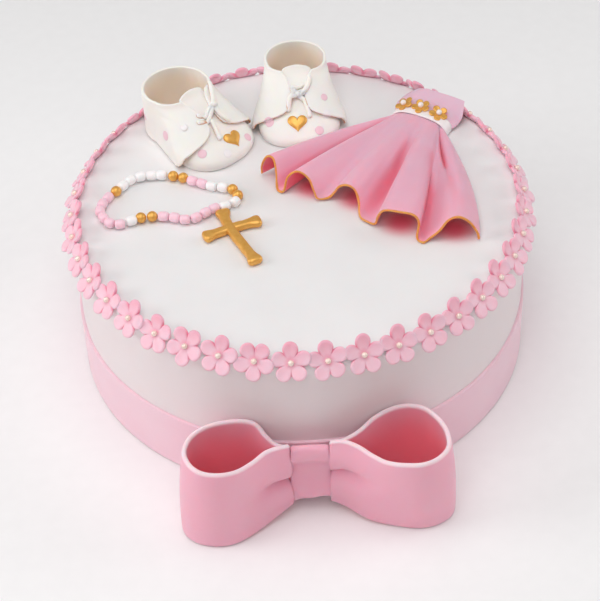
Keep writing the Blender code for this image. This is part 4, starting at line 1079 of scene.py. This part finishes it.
def make_bootee(side, toe_tip, heading, heel_radius, heart, dots, knot, laces):
    """One bootee in its own frame, toe along +Y, then set on the icing with its toe tip in place.

    The heart and the knot each have a place across and along the shoe, and a size or a lift.
    """
    way = np.radians(heading)
    turn = np.array(Matrix.Rotation(way - np.pi / 2, 3, "Z"))
    origin = np.array([*(toe_tip - toe_reach * np.array([np.cos(way), np.sin(way)])), cake_top])

    def make(name, body, material, slot, node, shades=None):
        """A piece of this bootee, set where it stands on the cake."""
        make_piece(f"bootee_{side}_{name}", body[0] @ turn.T + origin, body[1], material, slot,
                   [f"bootee_{side}_{node}"], shades)

    sole = sole_body(heel_radius)
    upper = upper_sheet(heel_radius)
    panel = heel_panel(heel_radius)
    plain = np.zeros(len(sole[0]))
    make("sole_slab", sole, ivory_paste, "bootee_paste", "sole", {"inside": plain, "seam": plain})
    make("upper", upper[:2], ivory_paste, "bootee_paste", "toe", upper[2])
    make("heel_panel", panel[:2], ivory_paste, "bootee_paste", "quarter", panel[2])
    points, quads = gather([upper[:2], panel[:2]])
    tree = BVHTree.FromPolygons(points.tolist(), quads.tolist())

    heart_thickness, lace_radius = 1.4, 1.4
    place, normal = land(tree, (*heart[:2], above_shoe))
    body = pressed(tree, place, normal, (0, 1, 0), heart_outline * heart[2], heart_thickness, 0.5)
    make("heart", body, gold_lustre, "gold", "toe")
    spots = {"pink": [], "white": []}
    for colour, start, direction, radius, lift in dots:
        place, normal = land(tree, (*start, above_shoe)[:3], direction)
        spots[colour].append(pressed(tree, place, normal, (0, 1, 0.1), round_outline * radius, lift, 0.3))
    make("pink_dots", gather(spots["pink"]), pink_dot_paste, "bootee_paste", "toe")
    make("white_dots", gather(spots["white"]), white_dot_paste, "bootee_paste", "toe")

    parts = []
    for route in laces:
        line = [(x, y, land(tree, (x, y, above_shoe))[0][2] + lift) for x, y, lift in route]
        parts.append(strand(line, lace_radius))
    ground = land(tree, (*knot[:2], above_shoe))[0]
    parts.append(ball(ground + [0, 0, knot[2]], 2.3, (1, 0.3, 0), half_length=1.9, roundness=0.8))
    points, quads = gather(parts)
    # Painted contact shadow: the laces darken within a millimetre of the shoe
    contact = np.array([land(tree, (x, y, above_shoe))[0][2] for x, y, _ in points])
    shades = {"inside": np.zeros(len(points)), "seam": np.clip(1.0 - (points[:, 2] - contact), 0, 1)}
    make("lace", (points, quads), ivory_paste, "bootee_paste", "laces", shades)


# Each dot has its colour, a start, which is above the shoe where it has no height of its own, the
# way from there to the shoe, its radius and its thickness
left_dots = [("pink", (16.5, 23.3), down, 2.6, 0.25), ("pink", (-13.5, 29.0), down, 2.4, 0.25),
             ("white", (4.7, 31.6), down, 2.4, 0.25), ("pink", (60, -1, 13.4), (-1, 0, 0), 2.8, 0.25),
             ("white", (16.2, 9.0), down, 2.1, 0.7), ("pink", (60, -23.7, 12.5), (-1, 0, 0), 1.9, 0.2)]
right_dots = [("pink", (17.2, 21.6), down, 2.6, 0.25), ("pink", (-10.9, 29.1), down, 2.6, 0.4),
              ("white", (-16.0, 21.6), down, 2.4, 0.25), ("pink", (-60, 12.6, 19.7), (1, 0, 0), 2.1, 0.3)]

# The laces run through places across and along the shoe, each with its lift above it
left_laces = [[(-5.4, 10.6, 2.8), (-10.0, 5.0, 1.1), (-14.6, -2.6, 0.9)],
              [(-5.4, 10.6, 2.8), (-0.6, 12.4, 1.6), (3.6, 14.0, 1.0), (9.4, 12.4, 0.7)],
              [(-5.4, 10.6, 2.8), (-1.4, 10.2, 1.8), (3.0, 11.4, 1.0), (6.8, 9.4, 0.6)],
              [(-5.4, 10.6, 2.8), (-5.8, 15.6, 1.2), (-8.6, 20.4, 0.8)],
              [(0.4, 14.2, 1.6), (1.6, 18.6, 1.1), (3.4, 24.6, 0.8)]]
right_laces = [[(0.6, 12.2, 1.4), (4.8, 14.6, 1.0), (6.2, 19.9, 0.9)],
               [(0.6, 12.2, 1.4), (-3.4, 14.6, 1.0), (-5.0, 19.0, 1.0), (-6.3, 23.2, 0.8)],
               [(0.6, 13.4, 0.9), (-4.4, 10.4, 0.9), (-6.6, 6.4, 0.9), (-7.4, 2.6, 0.8)],
               [(4.6, 12.8, 0.8), (0.4, 10.8, 0.8), (-4.0, 9.0, 0.8)],
               [(4.2, 9.2, 0.8), (0.0, 10.6, 0.9), (-4.2, 12.4, 0.8)],
               [(4.4, 9.0, 0.8), (0.4, 7.6, 0.8), (-3.6, 6.4, 0.8)]]
make_bootee("left", (-33.2, 37.2), -47.0, 16.8, (-4.2, 26.6, 5.6), left_dots, (-5.4, 10.6, 2.6), left_laces)
make_bootee("right", (3.6, 47.0), -88.4, 15.0, (1.4, 25.0, 5.7), right_dots, (0.2, 11.6, 1.2), right_laces)

cad_box = [list(corner) for corner in cad_box]
